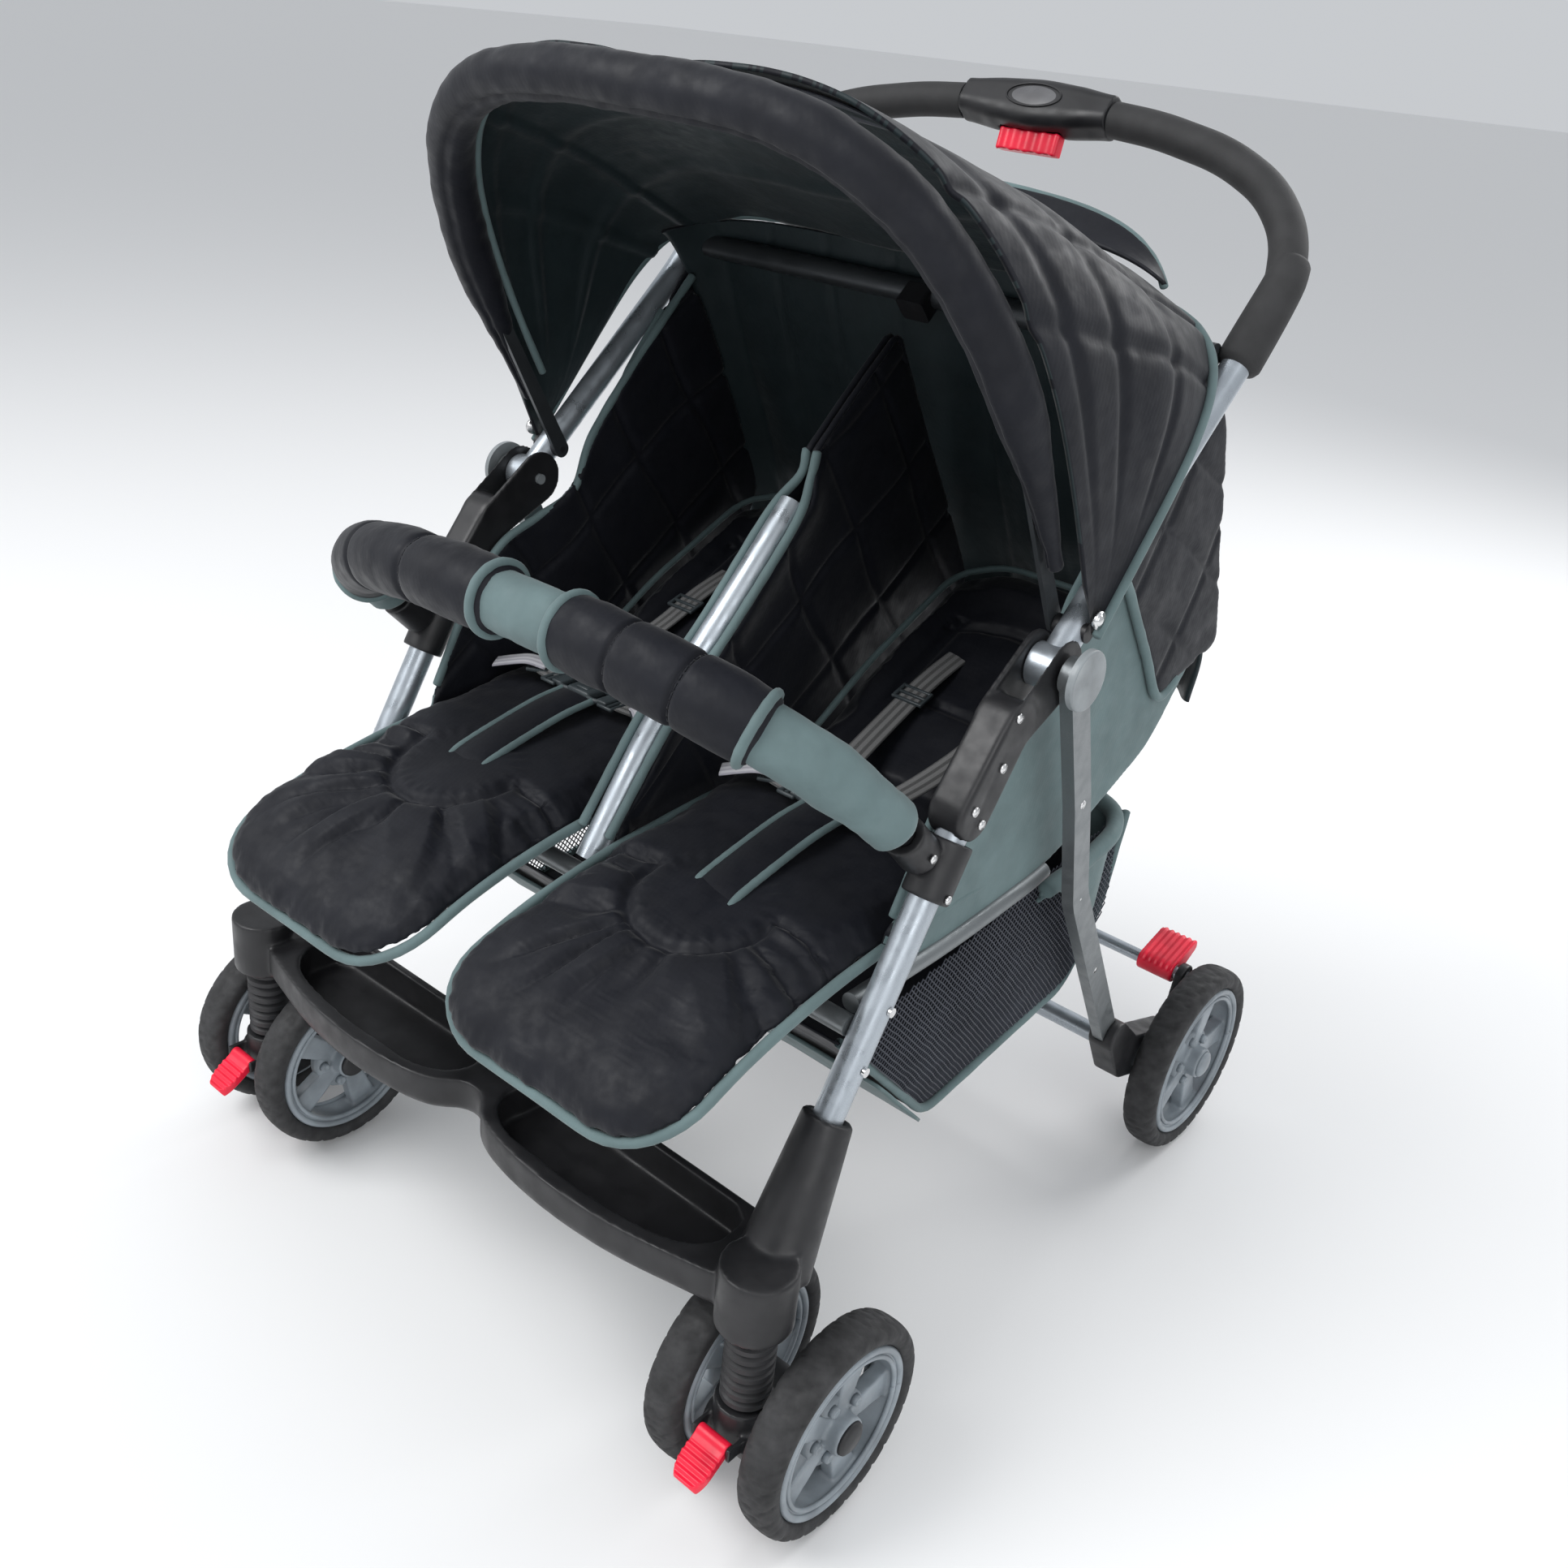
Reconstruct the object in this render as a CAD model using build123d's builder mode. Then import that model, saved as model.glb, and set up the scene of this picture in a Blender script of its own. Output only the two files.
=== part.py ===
"""Side-by-side twin pushchair with swivelling twin front wheels, in millimetres.

+X is one side, the front faces -Y and +Z is up. The origin is on the floor at the
middle of the whole outline. The frame folds about one line through both side joints:
the handle swings forward over the seats while the rear legs swing in below them.
"""
from build123d import *
import math
import os

os.makedirs("parts", exist_ok=True)

# ---- driving dimensions -------------------------------------------------------------
TUBE_R = 12.5
LEG_X = 304.0
FOLD_Y, FOLD_Z = -60.0, 650.0
PIN_R = 5.0
RUN_FIT = 0.05
BODY_GAP = 0.5

LEG_FOOT = (-292.0, 307.0)
LEG_HEAD = (-128.0, 604.0)
COVER_TOP = (-112.0, 617.0)
COVER_X = (286.0, 318.2)

HANDLE_BEND = (147.0, 849.0)
HANDLE_BASE = (162.0, 870.0)
HANDLE_HALF, HANDLE_DEPTH, HANDLE_POWER, HANDLE_TILT = 316.0, 202.0, 2.88, 50.2
GRIP_R = 16.0
HUB_HALF = 80.0
CROSS_Y, CROSS_Z, CROSS_R = 144.0, 866.0, 11.5

BOW_Y, BOW_Z = -33.0, 676.0
BOW_HALF, BOW_DEPTH, BOW_POWER, BOW_TILT = 297.0, 411.0, 3.37, 120.7
BOW_TUBE_R, BOW_ROLL_R = 6.0, 19.0
BOW_BAR_X, BOW_BAR_T = 284.0, 4.0
ROLL_START = 140.0

CANOPY_WALL = 3.0
CANOPY_FRONT = (320.0, 420.0, 3.37, 116.5)
CANOPY_REAR = (325.0, 288.0, 6.0, 52.0)

BUMPER_Y, BUMPER_Z = -193.0, 529.0
BUMPER_HALF, BUMPER_DEPTH, BUMPER_POWER, BUMPER_TILT = 300.0, 193.0, 2.57, 136.0
BUMPER_PAD_R, BUMPER_STUB_R = 27.0, 9.0

REAR_TOP = (326.5, FOLD_Y, FOLD_Z)
REAR_MID = (318.0, 0.0, 519.0)
REAR_KNEE = (312.0, 44.0, 408.0)
REAR_FOOT = (299.0, 223.0, 150.0)
REAR_WIDE, REAR_THICK = 25.0, 12.0
REAR_WHEEL_X, REAR_WHEEL_Y, REAR_WHEEL_R = 340.0, 336.0, 105.0
BRAKE_Y, BRAKE_Z, BRAKE_R = 346.0, 190.0, 7.0
BRACKET_X = (290.0, 318.0)

STEM_X, STEM_Y, STEM_TOP = 321.0, -364.0, 200.0
FRONT_WHEEL_R, FRONT_TRAIL, FRONT_SPACING = 94.0, 47.0, 50.0
TYRE_WIDE = 36.0

SEAT_IN, SEAT_OUT = 26.0, 278.0
CREASE_Y, CREASE_Z, BACK_TILT, BACK_LONG, BACK_THICK = -34.0, 458.0, 24.4, 322.0, 36.0
BACK_IN, BACK_OUT, HINGE_ROLL_R = 24.0, 270.0, 5.0
WING_X, WING_T = 278.0, 4.0
RAIL_X, RAIL_R = 282.5, 8.5
BASKET_HALF, BASKET_WALL = 270.0, 3.0

SIDES = (("left", -1), ("right", 1))


# ---- helpers ------------------------------------------------------------------------
def save(shape, label):
    """Names a finished piece and writes it to its own file."""
    shape.label = label
    export_step(shape, f"parts/{label}.step")
    return shape


def flat(side, near):
    """A sketch plane of constant X, with local x along Y and local y along Z."""
    return Plane(origin=(side * near, 0, 0), x_dir=(0, 1, 0), z_dir=(1, 0, 0))


def between(side, low, high):
    """The sketch plane at the lesser X of a layer on one side, and its thickness."""
    start = low if side > 0 else -high
    return Plane(origin=(start, 0, 0), x_dir=(0, 1, 0), z_dir=(1, 0, 0)), high - low


def bend_radii(points):
    """The largest bend at each inner point that leaves a short straight between bends."""
    radii = []
    for before, here, after in zip(points, points[1:], points[2:]):
        run_in = Vector(*here) - Vector(*before)
        run_out = Vector(*after) - Vector(*here)
        half_turn = math.radians(run_in.get_angle(run_out)) / 2
        radii.append(0.45 * min(run_in.length, run_out.length) / math.tan(half_turn))
    return radii


def tube(points, radius):
    """A round bar along points, with tangent bends."""
    with BuildPart() as bar:
        with BuildLine() as route:
            if len(points) > 2:
                FilletPolyline(*points, radius=bend_radii(points))
            else:
                Line(*points)
        heading = Vector(*points[1]) - Vector(*points[0])
        with BuildSketch(Plane(origin=points[0], z_dir=heading)):
            Circle(radius)
        sweep(path=route.line)
    return bar.part


def hoop_point(half, depth, power, base, tilt, turn):
    """A point of a superelliptic hoop that stands on the line along X through base."""
    cosine = math.cos(math.radians(turn))
    x = half * math.copysign(abs(cosine) ** (2 / power), cosine)
    rise = depth * math.sin(math.radians(turn)) ** (2 / power)
    lean = math.radians(tilt)
    return (x, base[0] + rise * math.cos(lean), base[1] + rise * math.sin(lean))


def hoop(half, depth, power, base, tilt, first, steps):
    """Evenly turned points of a hoop, from one side over the top to the other."""
    turns = [first + (180 - 2 * first) * i / steps for i in range(steps + 1)]
    return [hoop_point(half, depth, power, base, tilt, turn) for turn in turns]


def turn_at_rise(power, share):
    """The turn at which a hoop has risen to a share of its depth."""
    return math.degrees(math.asin(share ** (power / 2)))


def slab(outline, side, low, high):
    """A flat panel of one outline in Y and Z, between two X positions on one side."""
    plane, thick = between(side, low, high)
    with BuildPart() as panel:
        with BuildSketch(plane):
            Polygon(*outline, align=None)
        extrude(amount=thick)
    return panel.part


def hull_bar(discs, side, low, high):
    """A plate round a row of discs (y, z, radius), between two X positions."""
    plane, thick = between(side, low, high)
    with BuildPart() as plate:
        for first, second in zip(discs, discs[1:]):
            with BuildSketch(plane):
                with BuildLine():
                    for y, z, radius in (first, second):
                        CenterArc((y, z), radius, 0, 360)
                make_hull()
            extrude(amount=thick)
    return plate.part


def rod(start, end, radius):
    """A straight round rod between two points."""
    axis = Vector(*end) - Vector(*start)
    with BuildPart() as bar:
        with BuildSketch(Plane(origin=start, z_dir=axis)):
            Circle(radius)
        extrude(amount=axis.length)
    return bar.part


def across(side, low, high, y, z, radius):
    """A round rod along X on one side."""
    return rod((side * low, y, z), (side * high, y, z), radius)


def leg_point(side, along):
    """A point on the front leg's centre line, along mm above its foot."""
    run = Vector(0, LEG_HEAD[0] - LEG_FOOT[0], LEG_HEAD[1] - LEG_FOOT[1]).normalized()
    return Vector(side * LEG_X, *LEG_FOOT) + run * along


LEG_LONG = math.dist(LEG_FOOT, LEG_HEAD)


# ---- front legs, centre leg and footrest ---------------------------------------------
front_legs = {}
for name, side in SIDES:
    front_legs[side] = rod(tuple(leg_point(side, 0)), tuple(leg_point(side, LEG_LONG)), TUBE_R)
    save(front_legs[side], f"front_leg_{name}")

centre_route = [(0, -246, 414), (0, -174, 524), (0, -102, 598), (0, -16, 693)]
centre_leg = save(tube(centre_route, TUBE_R), "centre_leg")

SEAT_BAR = (-246.0, 396.0, 9.0)
seat_bar = save(rod((-291, *SEAT_BAR[:2]), (291, *SEAT_BAR[:2]), SEAT_BAR[2]), "seat_front_bar")

TRAY_Z, TRAY_FRONT_H, TRAY_FLOOR = 200.0, 36.0, 5.0
TRAY_FRONT = [(0, -370), (26, -384), (70, -400), (140, -405), (210, -399), (270, -386), (322, -352)]
TRAY_RECESS = [(28, -340), (30, -366), (52, -383), (100, -389), (148, -390), (210, -385), (252, -372),
               (270, -350)]
BOSS_R, SLEEVE_R = 31.0, 24.0
with BuildPart() as footrest:
    with BuildSketch(Plane.XY.offset(TRAY_Z)):
        with BuildLine():
            front = Spline(*TRAY_FRONT, tangents=[(1, 0), (0.6, 1)])
            end = Line(front @ 1, (322, -318))
            back = Polyline(end @ 1, (300, -304), (0, -300))
            Line(back @ 1, front @ 0)
        make_face()
        mirror(about=Plane.YZ)
    extrude(amount=TRAY_FRONT_H)
    fillet(footrest.edges().group_by(Axis.Z)[0], 12)
    for side in (-1, 1):
        with BuildSketch(Plane.XY.offset(TRAY_Z + TRAY_FLOOR)):
            with BuildLine():
                bay = Spline(*[(side * x, y) for x, y in TRAY_RECESS])
                rear = Polyline(bay @ 1, (side * 268, -322), (side * 252, -312), (side * 44, -309),
                                (side * 30, -318), bay @ 0)
            make_face()
        extrude(amount=TRAY_FRONT_H, mode=Mode.SUBTRACT)
    for side in (-1, 1):
        with BuildSketch(Plane.XY.offset(STEM_TOP)):
            with Locations((side * STEM_X, STEM_Y)):
                Circle(BOSS_R)
        extrude(amount=56)
        with BuildSketch(Plane(origin=(side * 312, -338, 226), z_dir=(-side * 8, 57, 103))):
            Circle(BOSS_R)
        with BuildSketch(Plane(origin=(side * LEG_X, -277, 334), z_dir=(0, 164, 297))):
            Circle(SLEEVE_R - 3)
        loft()
        add(rod(tuple(leg_point(side, -1)), tuple(leg_point(side, 60)), TUBE_R),
            mode=Mode.SUBTRACT)
        with BuildSketch(Plane.XY.offset(STEM_TOP)):
            with Locations((side * STEM_X, STEM_Y)):
                Circle(9 + RUN_FIT)
        extrude(amount=44, mode=Mode.SUBTRACT)
save(footrest.part, "footrest")

# ---- side joints -----------------------------------------------------------------------
for name, side in SIDES:
    cheeks = [(*COVER_TOP, 20.0), (FOLD_Y, FOLD_Z, 26.0)]
    with BuildPart() as joint_cover:
        add(hull_bar([(-154, 557, 23), (*COVER_TOP, 21)], side, *COVER_X))
        fillet(joint_cover.edges().filter_by(Axis.X, reverse=True), 5)
        add(hull_bar(cheeks, side, COVER_X[0], 291))
        add(hull_bar(cheeks, side, 316.6, COVER_X[1]))
        add(front_legs[side], mode=Mode.SUBTRACT)
        add(across(side, 280, 325, FOLD_Y, FOLD_Z, PIN_R), mode=Mode.SUBTRACT)
    save(joint_cover.part, f"joint_cover_{name}")

CAP_X = (334.0, 340.0)
with BuildPart() as fold_pins:
    for side in (-1, 1):
        add(across(side, *CAP_X, FOLD_Y, FOLD_Z, 25.0))
    fillet(fold_pins.edges().filter_by(GeomType.CIRCLE).group_by(Axis.X)[-1], 2)
    fillet(fold_pins.edges().filter_by(GeomType.CIRCLE).group_by(Axis.X)[0], 2)
    for side in (-1, 1):
        add(across(side, 283, CAP_X[0], FOLD_Y, FOLD_Z, PIN_R))
save(fold_pins.part, "fold_pins")

with BuildPart() as frame_rivets:
    for side in (-1, 1):
        for y, z in ((-256, 372.2), (-232, 415.7)):
            add(across(side, LEG_X + TUBE_R, LEG_X + TUBE_R + 2.5, y, z, 4.0))
save(frame_rivets.part, "frame_rivets")

# ---- seat rails, seat and side fabric ---------------------------------------------------
with BuildPart() as seat_rails:
    for x in (-RAIL_X, RAIL_X):
        add(tube([(x, -236, 408), (x, -101, 410), (x, 9, 421), (x, 34, 426)], RAIL_R))
save(seat_rails.part, "seat_rails")

pad_outline = [(-441, 368), (-437, 392), (-385, 424), (-300, 445), (-119, 458), (-42, 458),
               (-42, 430), (-200, 419), (-262, 417), (-330, 392), (-430, 355)]
wing_outline = [(-190, 470), (-126, 590), (-66, 614), (-20, 634), (2, 686), (132, 838),
                (266, 592), (150, 500), (20, 440), (-184, 440)]
for name, side in SIDES:
    with BuildPart() as seat_pad:
        add(slab(pad_outline, side, SEAT_IN, SEAT_OUT))
        corners = seat_pad.edges().filter_by(Axis.Z, tolerance=20).group_by(Axis.Y)[0]
        fillet(corners, 10)
    save(seat_pad.part, f"seat_pad_{name}")
    save(slab(wing_outline, side, WING_X, WING_X + WING_T), f"side_wing_{name}")

DIVIDER_HALF = 8.0
divider_outline = [(-236, 436), (-168, 528), (-96, 602), (-4, 706), (2, 735), (105, 834),
                   (255, 596), (130, 488), (0, 436)]
with BuildPart() as centre_divider:
    with BuildSketch(flat(1, -DIVIDER_HALF)):
        Polygon(*divider_outline, align=None)
    extrude(amount=2 * DIVIDER_HALF)
    add(tube([(0, -262, 390), *centre_route[1:]], TUBE_R + 0.3), mode=Mode.SUBTRACT)
save(centre_divider.part, "centre_divider")

CURTAIN_TOP, CURTAIN_FOOT = (172.0, 806.0), (269.0, 606.0)
curtain_outline = [CURTAIN_TOP, CURTAIN_FOOT, (CURTAIN_FOOT[0] + 4, CURTAIN_FOOT[1] + 2),
                   (CURTAIN_TOP[0] + 4, CURTAIN_TOP[1] + 2)]
with BuildPart() as rear_curtain:
    with BuildSketch(flat(1, -276)):
        Polygon(*curtain_outline, align=None)
    extrude(amount=552)
save(rear_curtain.part, "rear_curtain")

basket_outline = [(-224, 357), (-78, 209), (148, 245), (196, 315), (214, 417)]
inner_basket = [(-230, 366), (-76.7, 212.4), (146, 248), (192.8, 316), (211, 419), (200, 450)]
with BuildPart() as basket:
    with BuildSketch(flat(1, -BASKET_HALF)):
        Polygon(*basket_outline, align=None)
    extrude(amount=2 * BASKET_HALF)
    with BuildSketch(flat(1, BASKET_WALL - BASKET_HALF)):
        Polygon(*inner_basket, align=None)
    extrude(amount=2 * (BASKET_HALF - BASKET_WALL), mode=Mode.SUBTRACT)
save(basket.part, "basket")

# ---- harness buckles lying on the seats --------------------------------------------------
with BuildPart() as buckles:
    for side in (-1, 1):
        with BuildSketch(Plane.XY.offset(460)):
            with Locations((side * 152, -112)):
                RectangleRounded(62, 30, 8)
        extrude(amount=11)
save(buckles.part, "harness_buckles")

# ---- bumper bar and its clamps -----------------------------------------------------------
bumper_args = (BUMPER_HALF, BUMPER_DEPTH, BUMPER_POWER, (BUMPER_Y, BUMPER_Z), BUMPER_TILT)
lean = math.radians(BUMPER_TILT)
out = Vector(0, math.cos(lean), math.sin(lean))
bumper_points = hoop(*bumper_args, turn_at_rise(BUMPER_POWER, 46 / BUMPER_DEPTH), 10)
with BuildPart() as bumper_bar:
    add(tube(bumper_points, BUMPER_PAD_R))
    for side in (-1, 1):
        root = Vector(side * (BUMPER_HALF - 2), BUMPER_Y, BUMPER_Z)
        add(rod(tuple(root + out * 22), tuple(root + out * 52), BUMPER_STUB_R))
save(bumper_bar.part, "bumper_bar")
along = math.dist(LEG_FOOT, (BUMPER_Y, BUMPER_Z)) - 6
with BuildPart() as bumper_clamps:
    for side in (-1, 1):
        root = Vector(side * (BUMPER_HALF - 2), BUMPER_Y, BUMPER_Z)
        add(rod(tuple(leg_point(side, along - 24)), tuple(leg_point(side, along + 24)), 19.5))
        add(rod(tuple(root + out * 2), tuple(root + out * 40), 17.0))
        add(front_legs[side], mode=Mode.SUBTRACT)
        add(rod(tuple(root + out * 20), tuple(root + out * 50), BUMPER_STUB_R + RUN_FIT),
            mode=Mode.SUBTRACT)
save(bumper_clamps.part, "bumper_clamps")

# ---- handle ------------------------------------------------------------------------------
handle_args = (HANDLE_HALF, HANDLE_DEPTH, HANDLE_POWER, HANDLE_BASE, HANDLE_TILT)
hoop_points = hoop(*handle_args, 10, 10)
run = Vector(0, HANDLE_BEND[0] - FOLD_Y, HANDLE_BEND[1] - FOLD_Z).normalized()
starts = [Vector(side * LEG_X, FOLD_Y, FOLD_Z) + run * 6 for side in (1, -1)]
handle_route = [tuple(starts[0]), (LEG_X, *HANDLE_BEND), *hoop_points,
                (-LEG_X, *HANDLE_BEND), tuple(starts[1])]
handle_tube = tube(handle_route, TUBE_R)
with BuildPart() as handle:
    add(handle_tube)
    for side in (-1, 1):
        add(across(side, 292, 316, FOLD_Y, FOLD_Z, 18.0))
    for side in (-1, 1):
        add(across(side, 280, 330, FOLD_Y, FOLD_Z, PIN_R + RUN_FIT), mode=Mode.SUBTRACT)
save(handle.part, "handle_tube")

GRIP_END = HUB_HALF + 2
hub_turn = math.degrees(math.acos((GRIP_END / HANDLE_HALF) ** (HANDLE_POWER / 2)))
grip_turns = [10 + 16 * i for i in range(5)] + [hub_turn]
for name, side in SIDES:
    grip_route = [(side * 306.0, 160.5, 866.0)]
    for turn in grip_turns:
        x, y, z = hoop_point(*handle_args, turn)
        grip_route.append((side * x, y, z))
    with BuildPart() as grip:
        add(tube(grip_route, GRIP_R))
        add(handle_tube, mode=Mode.SUBTRACT)
    save(grip.part.solids().sort_by(SortBy.VOLUME)[-1], f"grip_{name}")

top = Vector(*hoop_point(*handle_args, 90))
lift = math.radians(HANDLE_TILT)
up = Vector(0, math.cos(lift), math.sin(lift))
face = Vector(0, -math.sin(lift), math.cos(lift))
squeeze = (up * 0.9 + face * 0.44).normalized()
hub_plane = Plane(origin=tuple(top - Vector(HUB_HALF, 0, 0)), x_dir=tuple(up), z_dir=(1, 0, 0))
with BuildPart() as hub:
    with BuildSketch(hub_plane):
        RectangleRounded(42, 36, 12)
    extrude(amount=2 * HUB_HALF)
    add(handle_tube, mode=Mode.SUBTRACT)
    with BuildSketch(Plane(origin=tuple(top - squeeze * 40), x_dir=(1, 0, 0), z_dir=tuple(squeeze))):
        Rectangle(68, 16)
    extrude(amount=26.5, mode=Mode.SUBTRACT)
save(hub.part, "handle_hub")

with BuildPart() as fold_trigger:
    with BuildSketch(Plane(origin=tuple(top - squeeze * 40), x_dir=(1, 0, 0), z_dir=tuple(squeeze))):
        RectangleRounded(66, 14.5, 4)
    extrude(amount=19)
save(fold_trigger.part, "fold_trigger")

cross_reach = LEG_X - TUBE_R
with BuildPart() as cross_tube:
    add(rod((-cross_reach, CROSS_Y, CROSS_Z), (cross_reach, CROSS_Y, CROSS_Z), CROSS_R))
    add(handle_tube, mode=Mode.SUBTRACT)
save(cross_tube.part, "cross_tube")

with BuildPart() as divider_hook:
    with BuildSketch(Plane(origin=(0, CROSS_Y, CROSS_Z), x_dir=(1, 0, 0), z_dir=(0, -0.72, -0.69))):
        RectangleRounded(30, 26, 4)
    extrude(amount=22)
    add(rod((-20, CROSS_Y, CROSS_Z), (20, CROSS_Y, CROSS_Z), CROSS_R), mode=Mode.SUBTRACT)
save(divider_hook.part.solids().sort_by(SortBy.VOLUME)[-1], "divider_hook")

with BuildPart() as bow_mounts:
    for side in (-1, 1):
        add(across(side, 289, 318, BOW_Y, BOW_Z, 8.0))
        add(across(side, 283.5, 289, BOW_Y, BOW_Z, 3.0))
    add(handle_tube, mode=Mode.SUBTRACT)
save(bow_mounts.part, "canopy_mounts")

# ---- canopy bow, its padded roll and the canopy cloth --------------------------------------
bow_args = (BOW_HALF, BOW_DEPTH, BOW_POWER, (BOW_Y, BOW_Z), BOW_TILT)
roll_turn = turn_at_rise(BOW_POWER, ROLL_START / BOW_DEPTH)
bow_points = hoop(*bow_args, roll_turn, 12)
bow_lean = math.radians(BOW_TILT)
bar_run = Vector(0, math.cos(bow_lean), math.sin(bow_lean))
bow_tube = tube(bow_points, BOW_TUBE_R)
with BuildPart() as canopy_bow:
    add(bow_tube)
    for side in (-1, 1):
        tip = Vector(0, BOW_Y, BOW_Z) + bar_run * (ROLL_START + 4)
        add(hull_bar([(BOW_Y, BOW_Z, 8.0), (tip.Y, tip.Z, 6.0)], side, BOW_BAR_X, BOW_BAR_X + BOW_BAR_T))
        tip_x = side * BOW_BAR_X
        add(rod((tip_x, tip.Y, tip.Z), (side * bow_points[0][0], tip.Y, tip.Z), 5.0))
        add(across(side, 280, 295, BOW_Y, BOW_Z, 3.0 + RUN_FIT), mode=Mode.SUBTRACT)
save(canopy_bow.part, "canopy_bow")
with BuildPart() as canopy_roll:
    add(tube(hoop(*bow_args, roll_turn + 1.2, 12), BOW_ROLL_R))
    add(canopy_bow.part, mode=Mode.SUBTRACT)
save(canopy_roll.part.solids().sort_by(SortBy.VOLUME)[-1], "canopy_roll")


def canopy_band(half, depth, power, tilt):
    """A closed thin U in the plane of one canopy edge, for the cloth between two edges."""
    base = (BOW_Y, BOW_Z)
    outer = hoop(half, depth, power, base, tilt, 6, 14)
    inner = hoop(half - CANOPY_WALL, depth - CANOPY_WALL, power, base, tilt, 6, 14)
    with BuildSketch(Plane(origin=(0, *base), x_dir=(1, 0, 0),
                           z_dir=(0, math.sin(math.radians(tilt)), -math.cos(math.radians(tilt))))) as band:
        with BuildLine():
            locals_out = [band.workplanes[0].to_local_coords(Vector(*p)) for p in outer]
            locals_in = [band.workplanes[0].to_local_coords(Vector(*p)) for p in reversed(inner)]
            Polyline(*[(p.X, p.Y) for p in locals_out + locals_in], close=True)
        make_face()
    return band.sketch


with BuildPart() as canopy_cloth:
    add(canopy_band(*CANOPY_FRONT))
    add(canopy_band(*CANOPY_REAR))
    loft(ruled=True)
save(canopy_cloth.part, "canopy_cloth")

# ---- rear legs and wheel brackets -----------------------------------------------------------
rear_legs = {}
for name, side in SIDES:
    spots = [Vector(side * x, y, z) for x, y, z in (REAR_TOP, REAR_MID, REAR_KNEE, REAR_FOOT)]
    down = (spots[3] - spots[0]).normalized()
    sideways = Vector(1, 0, 0)
    normal = (sideways - down * sideways.dot(down)).normalized()
    leg_plane = Plane(origin=tuple(spots[0]), x_dir=tuple(down), z_dir=tuple(normal))
    flat_spots = [leg_plane.to_local_coords(spot) for spot in spots]
    with BuildPart() as rear_leg:
        with BuildSketch(leg_plane):
            with BuildLine() as leg_line:
                FilletPolyline(*[(s.X, s.Y) for s in flat_spots], radius=90)
            trace(leg_line.line, line_width=REAR_WIDE)
            Circle(15)
        extrude(amount=REAR_THICK / 2, both=True)
        add(across(side, 310, 340, FOLD_Y, FOLD_Z, PIN_R + RUN_FIT), mode=Mode.SUBTRACT)
    rear_legs[side] = save(rear_leg.part, f"rear_leg_{name}")

REAR_TUBE_Y, REAR_TUBE_Z, REAR_TUBE_R = 250.0, 138.0, 10.0
for name, side in SIDES:
    low, high = BRACKET_X
    with BuildPart() as bracket:
        add(hull_bar([(205, 178, 17), (236, 140, 24), (REAR_WHEEL_Y, REAR_WHEEL_R, 24)], side, low, high))
        add(hull_bar([(REAR_WHEEL_Y, REAR_WHEEL_R, 20), (BRAKE_Y, BRAKE_Z, 14)], side, 308, high))
        add(rear_legs[side], mode=Mode.SUBTRACT)
        add(across(side, high, 364, REAR_WHEEL_Y, REAR_WHEEL_R, 6.0))
        add(across(side, 300, 330, BRAKE_Y, BRAKE_Z, BRAKE_R + RUN_FIT), mode=Mode.SUBTRACT)
    save(bracket.part.solids().sort_by(SortBy.VOLUME)[-1], f"wheel_bracket_{name}")
save(rod((-BRACKET_X[0], REAR_TUBE_Y, REAR_TUBE_Z), (BRACKET_X[0], REAR_TUBE_Y, REAR_TUBE_Z),
         REAR_TUBE_R), "rear_cross_tube")

save(rod((-317.5, BRAKE_Y, BRAKE_Z), (317.5, BRAKE_Y, BRAKE_Z), BRAKE_R), "brake_bar")
with BuildPart() as brake_pedals:
    for side in (-1, 1):
        add(hull_bar([(BRAKE_Y, BRAKE_Z, 12), (BRAKE_Y + 38, BRAKE_Z + 16, 7)], side, 262, 304))
        add(across(side, 255, 312, BRAKE_Y, BRAKE_Z, BRAKE_R), mode=Mode.SUBTRACT)
save(brake_pedals.part, "brake_pedals")


# ---- wheels ------------------------------------------------------------------------------------
def tyre(centre, radius, rim_radius):
    """A solid foam tyre with rounded shoulders, turned about X."""
    plane = Plane(origin=centre, x_dir=(1, 0, 0), z_dir=(0, -1, 0))
    with BuildPart() as ring:
        with BuildSketch(plane):
            with Locations((0, (radius + rim_radius) / 2)):
                RectangleRounded(TYRE_WIDE, radius - rim_radius, 8)
        revolve(axis=Axis(centre, (1, 0, 0)))
    return ring.part


def rim(centre, radius, hub_wide, bore):
    """A moulded rim: outer ring, hub and five broad spokes."""
    x, y, z = centre
    plane = Plane(origin=centre, x_dir=(1, 0, 0), z_dir=(0, -1, 0))
    with BuildPart() as wheel:
        with BuildSketch(plane):
            with Locations((0, radius - 4)):
                Rectangle(28, 8)
            with Locations((0, (bore + 17) / 2)):
                Rectangle(hub_wide, 17 - bore)
        revolve(axis=Axis(centre, (1, 0, 0)))
        with BuildSketch(Plane(origin=(x - 7, y, z), x_dir=(0, 1, 0), z_dir=(1, 0, 0))):
            with PolarLocations(0, 5):
                Polygon((14, -9), (radius - 6, -14), (radius - 6, 14), (14, 9), align=None)
        extrude(amount=14)
    return wheel.part


REAR_RIM_R, FRONT_RIM_R = 84.0, 74.0
for name, side in SIDES:
    centre = (side * REAR_WHEEL_X, REAR_WHEEL_Y, REAR_WHEEL_R)
    save(tyre(centre, REAR_WHEEL_R, REAR_RIM_R), f"rear_tyre_{name}")
    save(rim(centre, REAR_RIM_R, 42, 6.0 + RUN_FIT), f"rear_rim_{name}")

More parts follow.
